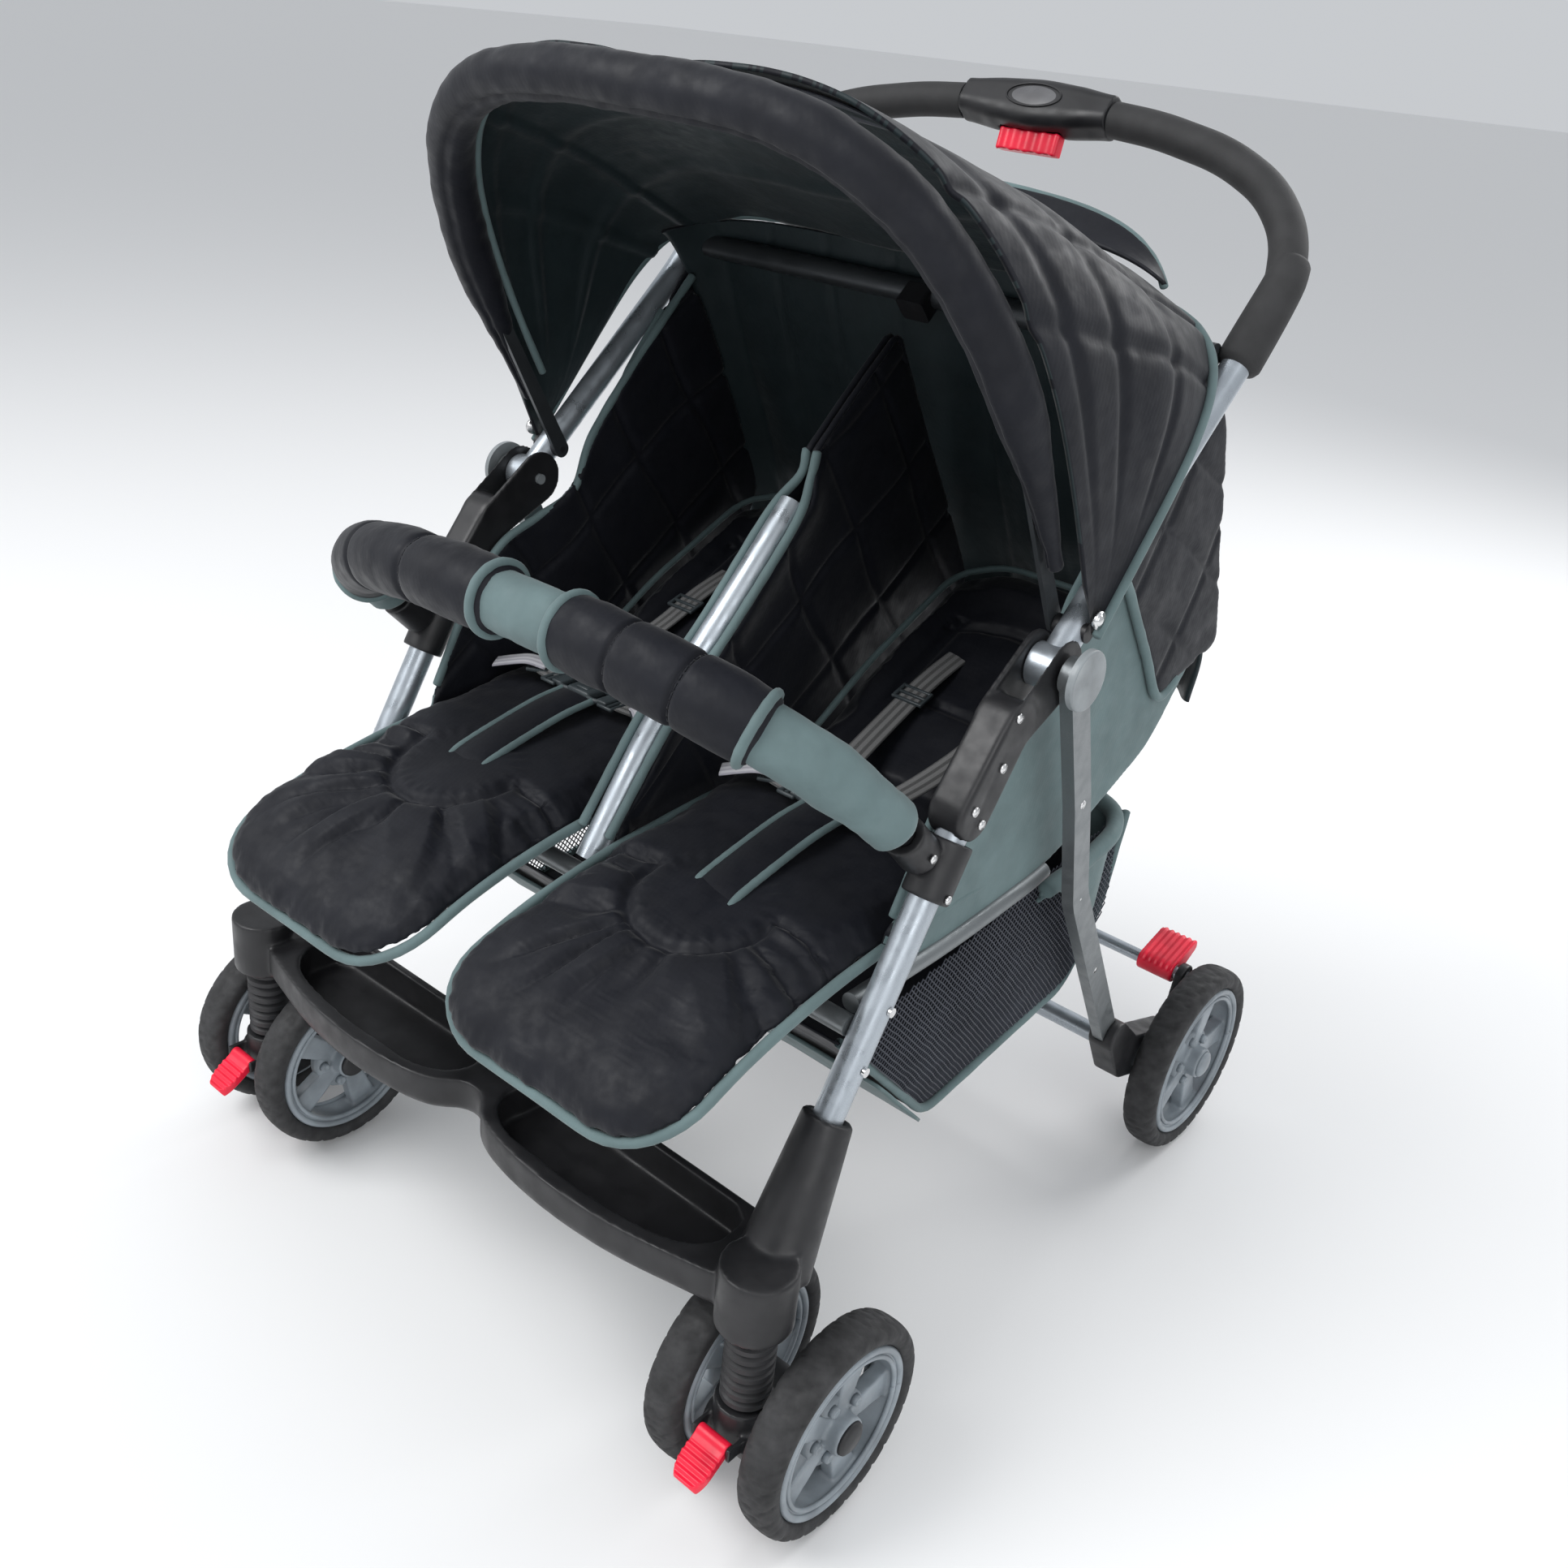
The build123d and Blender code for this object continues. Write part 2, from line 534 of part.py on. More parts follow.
# ---- front casters -----------------------------------------------------------------------------
AXLE_Y, AXLE_R = STEM_Y + FRONT_TRAIL, 5.0
PEDAL_Y, PEDAL_Z, PEDAL_PIN_R = STEM_Y - 33, 100.0, 3.0
for name, side in SIDES:
    middle = side * STEM_X
    with BuildPart() as caster_boot:
        with BuildSketch(Plane(origin=(middle, STEM_Y, 0), x_dir=(1, 0, 0), z_dir=(0, -1, 0))):
            with BuildLine():
                profile = [(10, 122)]
                for i in range(8):
                    base = 124 + i * 9.4
                    profile += [(17, base), (20.5, base + 2), (20.5, base + 6.4), (17, base + 8.4)]
                profile += [(17, STEM_TOP - BODY_GAP), (10, STEM_TOP - BODY_GAP)]
                Polyline(*profile, close=True)
            make_face()
        revolve(axis=Axis((middle, STEM_Y, 0), (0, 0, 1)))
    save(caster_boot.part, f"caster_boot_{name}")

    with BuildPart() as caster_fork:
        plane = Plane(origin=(middle - 24, 0, 0), x_dir=(0, 1, 0), z_dir=(1, 0, 0))
        with BuildSketch(plane):
            with BuildLine():
                CenterArc((STEM_Y, 92), 22, 0, 360)
                CenterArc((AXLE_Y, FRONT_WHEEL_R), 17, 0, 360)
            make_hull()
        extrude(amount=48)
        with BuildSketch(Plane.XY.offset(88)):
            with Locations((middle, STEM_Y)):
                Circle(24)
        extrude(amount=34)
        add(rod((middle, STEM_Y, 110), (middle, STEM_Y, 242), 9.0))
        add(rod((middle - 72, AXLE_Y, FRONT_WHEEL_R), (middle + 72, AXLE_Y, FRONT_WHEEL_R), AXLE_R))
        add(rod((middle - 20, PEDAL_Y, PEDAL_Z), (middle + 20, PEDAL_Y, PEDAL_Z), PEDAL_PIN_R))
        for ear in (-20, 16):
            with BuildSketch(Plane(origin=(middle + ear, 0, 0), x_dir=(0, 1, 0), z_dir=(1, 0, 0))):
                with Locations((STEM_Y - 25, PEDAL_Z)):
                    Rectangle(26, 12)
            extrude(amount=4)
        add(caster_boot.part, mode=Mode.SUBTRACT)
    save(caster_fork.part, f"caster_fork_{name}")

    with BuildPart() as swivel_lock:
        with BuildSketch(Plane(origin=(middle - 15.5, 0, 0), x_dir=(0, 1, 0), z_dir=(1, 0, 0))):
            with Locations((PEDAL_Y, PEDAL_Z)):
                Circle(5.5)
            Polygon((PEDAL_Y, PEDAL_Z + 5), (PEDAL_Y - 34, PEDAL_Z - 18), (PEDAL_Y - 30, PEDAL_Z - 25),
                    (PEDAL_Y, PEDAL_Z - 5), align=None)
        extrude(amount=31)
        add(rod((middle - 30, PEDAL_Y, PEDAL_Z), (middle + 30, PEDAL_Y, PEDAL_Z), PEDAL_PIN_R + RUN_FIT),
            mode=Mode.SUBTRACT)
    save(swivel_lock.part, f"swivel_lock_{name}")

    for place, step in (("inner", -side), ("outer", side)):
        centre = (middle + step * FRONT_SPACING, AXLE_Y, FRONT_WHEEL_R)
        save(tyre(centre, FRONT_WHEEL_R, FRONT_RIM_R), f"front_tyre_{name}_{place}")
        save(rim(centre, FRONT_RIM_R, 40, AXLE_R + RUN_FIT), f"front_rim_{name}_{place}")

# ---- reclining backrests -------------------------------------------------------------------------
rake = math.radians(BACK_TILT)
back_run = Vector(0, math.cos(rake), math.sin(rake))
back_drop = Vector(0, math.sin(rake), -math.cos(rake))
crease = Vector(0, CREASE_Y, CREASE_Z)
for name, side in SIDES:
    corners = [crease + back_run * 1, crease + back_run * BACK_LONG,
               crease + back_run * BACK_LONG + back_drop * BACK_THICK, crease + back_run * 1 + back_drop * BACK_THICK]
    with BuildPart() as backrest:
        add(slab([(c.Y, c.Z) for c in corners], side, BACK_IN, BACK_OUT))
        fillet(backrest.edges().filter_by(Axis.X, reverse=True).group_by(Axis.Y)[-1], 8)
        add(across(side, BACK_IN, BACK_OUT, CREASE_Y, CREASE_Z, HINGE_ROLL_R))
    save(backrest.part, f"backrest_{name}")
    hang = crease + back_run * 262 + back_drop * (BACK_THICK + 0.4)
    plate_outline = [(hang.Y - 30, hang.Z - 13.6), (hang.Y + 26, hang.Z + 11.8), (hang.Y + 20, hang.Z - 28),
                     (hang.Y - 12, hang.Z - 52), (hang.Y - 32, hang.Z - 40)]
    save(slab(plate_outline, side, 262, 269), f"recline_plate_{name}")
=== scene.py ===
"""Soft goods, mouldings, wheels and finishes of a folding side-by-side twin pushchair."""
import math

import bmesh
import bpy
import numpy as np
from mathutils import Matrix, Vector, noise
from mathutils.bvhtree import BVHTree


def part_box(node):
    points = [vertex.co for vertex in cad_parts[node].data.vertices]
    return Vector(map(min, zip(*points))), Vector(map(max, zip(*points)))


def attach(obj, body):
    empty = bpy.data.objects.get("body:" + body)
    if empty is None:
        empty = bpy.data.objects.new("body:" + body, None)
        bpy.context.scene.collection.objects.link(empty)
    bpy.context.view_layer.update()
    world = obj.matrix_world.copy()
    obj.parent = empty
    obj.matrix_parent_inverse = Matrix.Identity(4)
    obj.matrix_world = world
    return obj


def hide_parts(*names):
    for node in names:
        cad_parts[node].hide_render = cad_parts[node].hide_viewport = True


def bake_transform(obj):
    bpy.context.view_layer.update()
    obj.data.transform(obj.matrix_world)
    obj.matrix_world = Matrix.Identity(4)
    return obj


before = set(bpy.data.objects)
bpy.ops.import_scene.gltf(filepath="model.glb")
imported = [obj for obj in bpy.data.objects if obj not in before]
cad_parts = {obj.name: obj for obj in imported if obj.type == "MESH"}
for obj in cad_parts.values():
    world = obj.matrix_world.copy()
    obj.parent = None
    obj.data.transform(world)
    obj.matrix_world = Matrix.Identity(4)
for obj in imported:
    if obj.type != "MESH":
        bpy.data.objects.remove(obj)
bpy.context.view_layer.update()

bl_info = {
    "name": "Twin pushchair dressing",
    "version": (1, 0, 0),
    "blender": (4, 5, 0),
    "location": "View3D > Sidebar > Pushchair",
    "description": "Builds the fabric, mouldings and wheels round the pushchair's fixed frame",
    "category": "Object",
}

SIDES = (("left", -1), ("right", 1))
BOW_HINGE = Vector((0, -0.033, 0.676))
BOW = dict(half=0.297, depth=0.411, power=3.37, base=BOW_HINGE, tilt=120.7)
BUMPER = dict(half=0.300, depth=0.193, power=2.57, base=Vector((0, -0.193, 0.529)), tilt=136.0)
HANDLE = dict(half=0.316, depth=0.202, power=2.88, base=Vector((0, 0.162, 0.870)), tilt=50.2)
REAR_LEG = (Vector((0.318, 0.0, 0.519)), Vector((0.312, 0.044, 0.408)), Vector((0.299, 0.223, 0.150)))
CREASE = Vector((0, -0.034, 0.458))
BACK_TILT, BACK_LONG = math.radians(24.4), 0.322
MM = 0.001


# ---- node materials -----------------------------------------------------------------
class Surface:
    """A material under construction: small calls add the nodes of one finish."""

    def __init__(self, name, colour, roughness, metallic=0.0):
        self.material = bpy.data.materials.new(name)
        self.material.use_nodes = True
        self.tree = self.material.node_tree
        self.shader = self.tree.nodes["Principled BSDF"]
        self.shader.inputs["Base Color"].default_value = (*colour, 1)
        self.shader.inputs["Roughness"].default_value = roughness
        self.shader.inputs["Metallic"].default_value = metallic
        self.colour = colour
        self.normal = None
        place = self.tree.nodes.new("ShaderNodeTexCoord")
        self.where = place.outputs["Object"]
        self.uv = place.outputs["UV"]

    def node(self, kind, **values):
        made = self.tree.nodes.new(kind)
        for key, value in values.items():
            if key in made.inputs.keys():
                made.inputs[key].default_value = value
            else:
                setattr(made, key, value)
        return made

    def link(self, out, into):
        self.tree.links.new(out, into)

    def scaled(self, scale, turn=(0, 0, 0), source=None):
        mapping = self.node("ShaderNodeMapping")
        mapping.inputs["Scale"].default_value = scale
        mapping.inputs["Rotation"].default_value = turn
        self.link(source or self.where, mapping.inputs["Vector"])
        return mapping.outputs["Vector"]

    def noise(self, scale, detail=4.0, vector=None):
        made = self.node("ShaderNodeTexNoise", Scale=scale, Detail=detail)
        self.link(vector or self.where, made.inputs["Vector"])
        return made.outputs["Fac"]

    def ramp(self, source, low, high, start=0.35, end=0.65):
        made = self.node("ShaderNodeMapRange")
        for key, value in (("From Min", start), ("From Max", end), ("To Min", low), ("To Max", high)):
            made.inputs[key].default_value = value
        self.link(source, made.inputs["Value"])
        return made.outputs["Result"]

    def tint(self, source, light=1.25, dark=0.8, start=0.35, end=0.65):
        """Varies the base colour between a darker and a lighter tone."""
        made = self.node("ShaderNodeValToRGB")
        made.color_ramp.elements[0].position = start
        made.color_ramp.elements[1].position = end
        made.color_ramp.elements[0].color = (*(c * dark for c in self.colour), 1)
        made.color_ramp.elements[1].color = (*(min(1, c * light) for c in self.colour), 1)
        self.link(source, made.inputs["Fac"])
        self.link(made.outputs["Color"], self.shader.inputs["Base Color"])

    def rough(self, source, low, high):
        self.link(self.ramp(source, low, high), self.shader.inputs["Roughness"])

    def bump(self, source, strength, distance):
        made = self.node("ShaderNodeBump", Strength=strength, Distance=distance)
        self.link(source, made.inputs["Height"])
        if self.normal is not None:
            self.link(self.normal, made.inputs["Normal"])
        self.normal = made.outputs["Normal"]
        self.link(self.normal, self.shader.inputs["Normal"])


def woven(name, colour, roughness=0.62, sheen=0.12, thread=1400.0, crease=0.5):
    """Woven polyester: crossing threads, soft creases and a slight sheen."""
    s = Surface(name, colour, roughness)
    s.shader.inputs["Sheen Weight"].default_value = sheen
    s.shader.inputs["Sheen Roughness"].default_value = 0.4
    s.shader.inputs["Specular IOR Level"].default_value = 0.25
    for turn in (0.0, math.pi / 2):
        waves = s.node("ShaderNodeTexWave", Scale=thread / 20, Distortion=0.3)
        s.link(s.scaled((1, 1, 1), (0.3, 0.5, turn)), waves.inputs["Vector"])
        s.bump(waves.outputs["Fac"], 0.12, 0.0002)
    s.bump(s.noise(38, 5), 0.25 * crease, 0.004)
    s.bump(s.noise(260, 3), 0.10, 0.0006)
    s.tint(s.noise(24, 6), 1.12, 0.90)
    s.rough(s.noise(60, 3), roughness - 0.08, roughness + 0.1)
    return s.material


def striped_web(name, light, dark):
    """Webbing: fine ribs across and two darker stripes along the strap's own UV."""
    s = Surface(name, light, 0.7)
    s.shader.inputs["Sheen Weight"].default_value = 0.25
    s.shader.inputs["Sheen Roughness"].default_value = 0.5
    ribs = s.node("ShaderNodeTexWave", Scale=1.0, bands_direction="Y")
    s.link(s.scaled((0, 90, 0), source=s.uv), ribs.inputs["Vector"])
    s.bump(ribs.outputs["Fac"], 0.5, 0.0006)
    bands = s.node("ShaderNodeTexWave", Scale=1.0, bands_direction="X")
    s.link(s.scaled((0.95, 0, 0), source=s.uv), bands.inputs["Vector"])
    mix = s.node("ShaderNodeValToRGB")
    mix.color_ramp.elements[0].color = (*dark, 1)
    mix.color_ramp.elements[1].color = (*light, 1)
    mix.color_ramp.elements[0].position, mix.color_ramp.elements[1].position = 0.30, 0.55
    s.link(bands.outputs["Fac"], mix.inputs["Fac"])
    s.link(mix.outputs["Color"], s.shader.inputs["Base Color"])
    return s.material


def moulding(name, colour, roughness=0.42, grain=2200.0, depth=0.18):
    """Injection-moulded plastic with a fine spark grain and scuffed high spots."""
    s = Surface(name, colour, roughness)
    s.shader.inputs["Specular IOR Level"].default_value = 0.45
    s.bump(s.noise(grain, 2), depth, 0.0002)
    s.bump(s.noise(16, 2), 0.05, 0.002)
    s.tint(s.noise(30, 5), 1.3, 0.85)
    s.rough(s.noise(45, 4), roughness - 0.07, roughness + 0.12)
    return s.material


def coated_tube(name, colour, roughness=0.3, metallic=0.75):
    """Powder-coated tube: fine metallic fleck, orange peel and rubbed patches."""
    s = Surface(name, colour, roughness, metallic)
    s.bump(s.noise(900, 2), 0.06, 0.0002)
    s.tint(s.noise(3500, 1), 1.15, 0.88)
    s.rough(s.noise(70, 6), roughness - 0.06, roughness + 0.14)
    return s.material


def foam(name, colour):
    """Closed-cell foam sleeve: dull, finely pitted."""
    s = Surface(name, colour, 0.72)
    s.bump(s.noise(1100, 3), 0.35, 0.0005)
    s.bump(s.noise(30, 2), 0.08, 0.003)
    s.tint(s.noise(40, 4), 1.25, 0.85)
    return s.material


def tyre_rubber(name, colour):
    """Foam rubber tyre with dusty patches."""
    s = Surface(name, colour, 0.75)
    s.bump(s.noise(700, 3), 0.3, 0.0004)
    s.tint(s.noise(55, 8), 1.9, 0.8, 0.3, 0.75)
    s.rough(s.noise(90, 3), 0.62, 0.85)
    return s.material


MATERIALS = {}


def finish(name):
    """The material of that name, made the first time it is asked for."""
    look = bpy.context.scene.pushchair_look
    makers = {
        "black cloth": lambda n: woven(n, look.cloth, 0.6, 0.10, crease=0.7),
        "smooth black cloth": lambda n: woven(n, look.cloth, 0.55, 0.1, crease=0.3),
        "lining cloth": lambda n: woven(n, look.lining, 0.5, 0.15, crease=0.8),
        "trim cloth": lambda n: woven(n, look.trim, 0.7, 0.12, crease=0.5),
        "net cloth": lambda n: woven(n, (0.05, 0.055, 0.07), 0.6, 0.2),
        "webbing": lambda n: striped_web(n, (0.20, 0.20, 0.20), (0.06, 0.06, 0.06)),
        "strap tab": lambda n: striped_web(n, (0.72, 0.72, 0.76), (0.50, 0.49, 0.55)),
        "silver tube": lambda n: coated_tube(n, look.silver),
        "grey tube": lambda n: coated_tube(n, look.rear_leg, 0.34, 0.6),
        "dark tube": lambda n: coated_tube(n, (0.05, 0.055, 0.06), 0.34, 0.5),
        "black moulding": lambda n: moulding(n, look.plastic),
        "grey moulding": lambda n: moulding(n, (0.22, 0.24, 0.25), 0.38),
        "buckle moulding": lambda n: moulding(n, (0.045, 0.055, 0.06), 0.33, 3000, 0.1),
        "rim moulding": lambda n: moulding(n, look.rim, 0.36, 1800, 0.1),
        "red moulding": lambda n: moulding(n, look.accent, 0.35, 1800, 0.12),
        "boot rubber": lambda n: moulding(n, (0.022, 0.022, 0.024), 0.55, 900, 0.2),
        "foam grip": lambda n: foam(n, (0.020, 0.020, 0.021)),
        "tyre rubber": lambda n: tyre_rubber(n, (0.018, 0.018, 0.019)),
        "bright steel": lambda n: coated_tube(n, (0.72, 0.72, 0.72), 0.22, 1.0),
        "pale label": lambda n: moulding(n, (0.62, 0.62, 0.63), 0.45, 3000, 0.05),
        "blank label": lambda n: moulding(n, (0.10, 0.10, 0.105), 0.3, 3000, 0.05),
    }
    if name not in MATERIALS:
        MATERIALS[name] = makers[name](name)
    return MATERIALS[name]


# ---- mesh helpers ---------------------------------------------------------------------
def new_object(name, vertices, faces, material, smooth=True):
    """A mesh object at the origin with its faces turned outwards."""
    mesh = bpy.data.meshes.new(name)
    mesh.from_pydata([tuple(v) for v in vertices], [], faces)
    obj = bpy.data.objects.new(name, mesh)
    bpy.context.scene.collection.objects.link(obj)
    tidy_mesh(obj)
    obj.data.materials.append(finish(material))
    obj.data.polygons.foreach_set("use_smooth", [smooth] * len(obj.data.polygons))
    return obj


def tidy_mesh(obj, distance=1e-6):
    made = bmesh.new()
    made.from_mesh(obj.data)
    bmesh.ops.remove_doubles(made, verts=made.verts, dist=distance)
    bmesh.ops.recalc_face_normals(made, faces=made.faces)
    made.to_mesh(obj.data)
    made.free()


def apply_modifiers(obj):
    """Replaces the mesh with its evaluated result and removes the modifiers."""
    bpy.context.view_layer.update()
    graph = bpy.context.evaluated_depsgraph_get()
    mesh = bpy.data.meshes.new_from_object(obj.evaluated_get(graph))
    old = obj.data
    obj.modifiers.clear()
    obj.data = mesh
    bpy.data.meshes.remove(old)
    return obj


def subdivide(obj, levels=1):
    modifier = obj.modifiers.new("Smooth", "SUBSURF")
    modifier.levels = modifier.render_levels = levels
    return apply_modifiers(obj)


def remesh(obj, voxel, rounds=0, factor=0.5):
    """Voxel remesh, then a plain smooth, which rounds every edge like a moulding."""
    modifier = obj.modifiers.new("Voxels", "REMESH")
    modifier.mode = "VOXEL"
    modifier.voxel_size = voxel
    modifier.use_smooth_shade = True
    if rounds:
        smoother = obj.modifiers.new("Soften", "SMOOTH")
        smoother.iterations = rounds
        smoother.factor = factor
    return apply_modifiers(obj)


def join(name, objects):
    """One object from several, keeping each one's material."""
    mesh = bpy.data.meshes.new(name)
    made = bmesh.new()
    slots = []
    for obj in objects:
        for material in obj.data.materials:
            if material not in slots:
                slots.append(material)
    for obj in objects:
        start = len(made.faces)
        made.from_mesh(obj.data)
        made.faces.ensure_lookup_table()
        table = [slots.index(m) for m in obj.data.materials]
        for face in made.faces[start:]:
            face.material_index = table[min(face.material_index, len(table) - 1)]
    made.to_mesh(mesh)
    made.free()
    joined = bpy.data.objects.new(name, mesh)
    for material in slots:
        mesh.materials.append(material)
    bpy.context.scene.collection.objects.link(joined)
    for obj in objects:
        bpy.data.objects.remove(obj)
    return joined


def spline(points, count):
    """Evenly spaced points of a smooth curve through the given ones."""
    p = [Vector(q) for q in points]
    p = [p[0] * 2 - p[1]] + p + [p[-1] * 2 - p[-2]]
    dense = []
    for a, b, c, d in zip(p, p[1:], p[2:], p[3:]):
        for i in range(24):
            t = i / 24
            dense.append(0.5 * ((2 * b) + (c - a) * t + (2 * a - 5 * b + 4 * c - d) * t * t
                                + (3 * b - a - 3 * c + d) * t ** 3))
    dense.append(p[-2])
    return even(dense, count)


def even(points, count):
    """The same line resampled to evenly spaced points."""
    co = np.array([list(q) for q in points])
    along = np.concatenate([[0], np.cumsum(np.linalg.norm(np.diff(co, axis=0), axis=1))])
    want = np.linspace(0, along[-1], count)
    return [Vector(v) for v in np.stack([np.interp(want, along, co[:, k]) for k in range(3)], -1)]


def hoop_point(turn, half, depth, power, base, tilt):
    cosine = math.cos(turn)
    x = half * math.copysign(abs(cosine) ** (2 / power), cosine)
    rise = depth * abs(math.sin(turn)) ** (2 / power)
    lean = math.radians(tilt)
    return Vector((x, base.y + rise * math.cos(lean), base.z + rise * math.sin(lean)))


def hoop_line(shape, first=0.0, last=None, count=81):
    """Evenly spaced points of a superelliptic hoop between two turns, in degrees."""
    last = 180 - first if last is None else last
    turns = np.radians(np.linspace(first, last, 240))
    return even([hoop_point(t, **shape) for t in turns], count)


def frames(points, up=Vector((0, 0, 1))):
    """Tangent and two cross directions at each point, with no twist."""
    out = []
    side = None
    for i, here in enumerate(points):
        ahead = (points[min(i + 1, len(points) - 1)] - points[max(i - 1, 0)]).normalized()
        if side is None:
            side = ahead.cross(up)
            if side.length < 1e-4:
                side = ahead.cross(Vector((1, 0, 0)))
        side = (side - ahead * side.dot(ahead)).normalized()
        out.append((here, ahead, side, ahead.cross(side)))
    return out


def pipe(name, points, radius, material, sides=14, round_ends=True):
    """A round bar whose radius may be a number or a function of the share along it."""
    size = radius if callable(radius) else (lambda t: radius)
    rings = []
    count = len(points)
    line = frames(points)
    if round_ends:
        for end in (0, -1):
            here, ahead, side, top = line[end]
            r = size(0 if end == 0 else 1)
            sign = -1 if end == 0 else 1
            caps = [(here + ahead * sign * r * 0.45 * math.sin(a), side, top, r * math.cos(a))
                    for a in (0.45, 0.95, 1.35)]
            rings.append(caps[::-1] if end == 0 else caps)
    middle = [(here, side, top, size(i / (count - 1)))
              for i, (here, ahead, side, top) in enumerate(line)]
    all_rings = (rings[0] + middle + rings[1]) if round_ends else middle
    vertices, faces = [], []
    for here, side, top, r in all_rings:
        for k in range(sides):
            a = 2 * math.pi * k / sides
            vertices.append(here + (side * math.cos(a) + top * math.sin(a)) * r)
    for i in range(len(all_rings) - 1):
        for k in range(sides):
            n = (k + 1) % sides
            faces.append((i * sides + k, i * sides + n, (i + 1) * sides + n, (i + 1) * sides + k))
    faces.append(tuple(range(sides))[::-1])
    faces.append(tuple(range((len(all_rings) - 1) * sides, len(all_rings) * sides)))
    return new_object(name, vertices, faces, material)


def strap(name, points, normals, width, thick, material, count=60):
    """Flat webbing along points, with UV x across and y in strap widths along."""
    line = spline(points, count)
    ups = [n.normalized() for n in spline(normals, count)]
    vertices, faces, uvs = [], [], []
    length = 0.0
    half, deep = width / 2, thick / 2
    section = [(-half, 0), (-half * 0.9, deep), (0, deep * 1.15), (half * 0.9, deep),
               (half, 0), (half * 0.9, -deep), (0, -deep), (-half * 0.9, -deep)]
    for i, here in enumerate(line):
        ahead = (line[min(i + 1, count - 1)] - line[max(i - 1, 0)]).normalized()
        side = ahead.cross(ups[i]).normalized()
        up = side.cross(ahead).normalized()
        if i:
            length += (here - line[i - 1]).length
        for a, b in section:
            vertices.append(here + side * a + up * b)
            uvs.append((a / width + 0.5, length / width))
    n = len(section)
    for i in range(count - 1):
        for k in range(n):
            faces.append((i * n + k, i * n + (k + 1) % n, (i + 1) * n + (k + 1) % n, (i + 1) * n + k))
    faces.append(tuple(range(n))[::-1])
    faces.append(tuple(range((count - 1) * n, count * n)))
    mesh = bpy.data.meshes.new(name)
    mesh.from_pydata([tuple(v) for v in vertices], [], faces)
    layer = mesh.uv_layers.new(name="UVMap")
    for loop in mesh.loops:
        layer.data[loop.index].uv = uvs[loop.vertex_index]
    made = bmesh.new()
    made.from_mesh(mesh)
    bmesh.ops.recalc_face_normals(made, faces=made.faces)
    made.to_mesh(mesh)
    made.free()
    obj = bpy.data.objects.new(name, mesh)
    bpy.context.scene.collection.objects.link(obj)
    mesh.materials.append(finish(material))
    mesh.polygons.foreach_set("use_smooth", [True] * len(mesh.polygons))
    return obj


def cloth_panel(name, surface, across, along, thick, material, back=None):
    """A closed thin sheet from surface(u, v), with its thickness on the far side."""
    grid = [[Vector(surface(i / across, j / along)) for i in range(across + 1)] for j in range(along + 1)]
    normals = []
    for j in range(along + 1):
        row = []
        for i in range(across + 1):
            du = grid[j][min(i + 1, across)] - grid[j][max(i - 1, 0)]
            dv = grid[min(j + 1, along)][i] - grid[max(j - 1, 0)][i]
            n = du.cross(dv)
            row.append(n.normalized() if n.length > 1e-12 else Vector((0, 0, 1)))
        normals.append(row)
    wide = across + 1
    top = [grid[j][i] for j in range(along + 1) for i in range(wide)]
    under = [grid[j][i] - normals[j][i] * thick for j in range(along + 1) for i in range(wide)]
    n = len(top)
    faces, second = [], []
    for j in range(along):
        for i in range(across):
            a = j * wide + i
            faces.append((a, a + 1, a + wide + 1, a + wide))
            second.append((a + n, a + wide + n, a + wide + 1 + n, a + 1 + n))
    border = ([j * wide for j in range(along + 1)][::-1] + list(range(wide))
              + [j * wide + across for j in range(along + 1)] + list(range(along * wide, n))[::-1])
    border = [b for b, c in zip(border, border[1:] + border[:1]) if b != c]
    rim = [(b, b + n, c + n, c) for b, c in zip(border, border[1:] + border[:1])]
    obj = new_object(name, top + under, faces + second + rim, material)
    if back:
        obj.data.materials.append(finish(back))
        tree = BVHTree.FromPolygons([tuple(v) for v in under], [tuple(k - n for k in f) for f in second])
        tree_top = BVHTree.FromPolygons([tuple(v) for v in top], faces)
        for polygon in obj.data.polygons:
            near = tree.find_nearest(polygon.center)[3]
            if near is not None and near < tree_top.find_nearest(polygon.center)[3]:
                polygon.material_index = 1
    return obj


def displace(obj, change):
    """Moves each vertex along its normal by change(point, normal), in metres."""
    mesh = obj.data
    normals = [v.normal.copy() for v in mesh.vertices]
    for vertex, normal in zip(mesh.vertices, normals):
        vertex.co += normal * change(vertex.co, normal)
    mesh.update()
    return obj


def inflate(obj, voxel=0.005, pressure=4.0, cap=0.010, frames_run=20):
    """Cloth under pressure: the padding swells, each point by at most cap."""
    remesh(obj, voxel)
    rest = np.zeros(len(obj.data.vertices) * 3)
    obj.data.vertices.foreach_get("co", rest)
    cloth = obj.modifiers.new("Cloth", "CLOTH")
    cloth.settings.use_pressure = True
    cloth.settings.uniform_pressure_force = pressure
    cloth.settings.quality = 4
    cloth.settings.effector_weights.gravity = 0
    cloth.settings.tension_stiffness = 12
    cloth.settings.bending_stiffness = 1.5
    cloth.collision_settings.use_collision = False
    cloth.point_cache.frame_start, cloth.point_cache.frame_end = 1, frames_run
    scene = bpy.context.scene
    for step in range(1, frames_run + 1):
        scene.frame_set(step)
    apply_modifiers(obj)
    scene.frame_set(1)
    moved = np.zeros(len(rest))
    obj.data.vertices.foreach_get("co", moved)
    shift = (moved - rest).reshape(-1, 3)
    size = np.linalg.norm(shift, axis=1, keepdims=True)
    shift *= np.minimum(1, cap / np.maximum(size, 1e-9))
    obj.data.vertices.foreach_set("co", (rest.reshape(-1, 3) + shift).ravel())
    obj.data.update()
    return obj


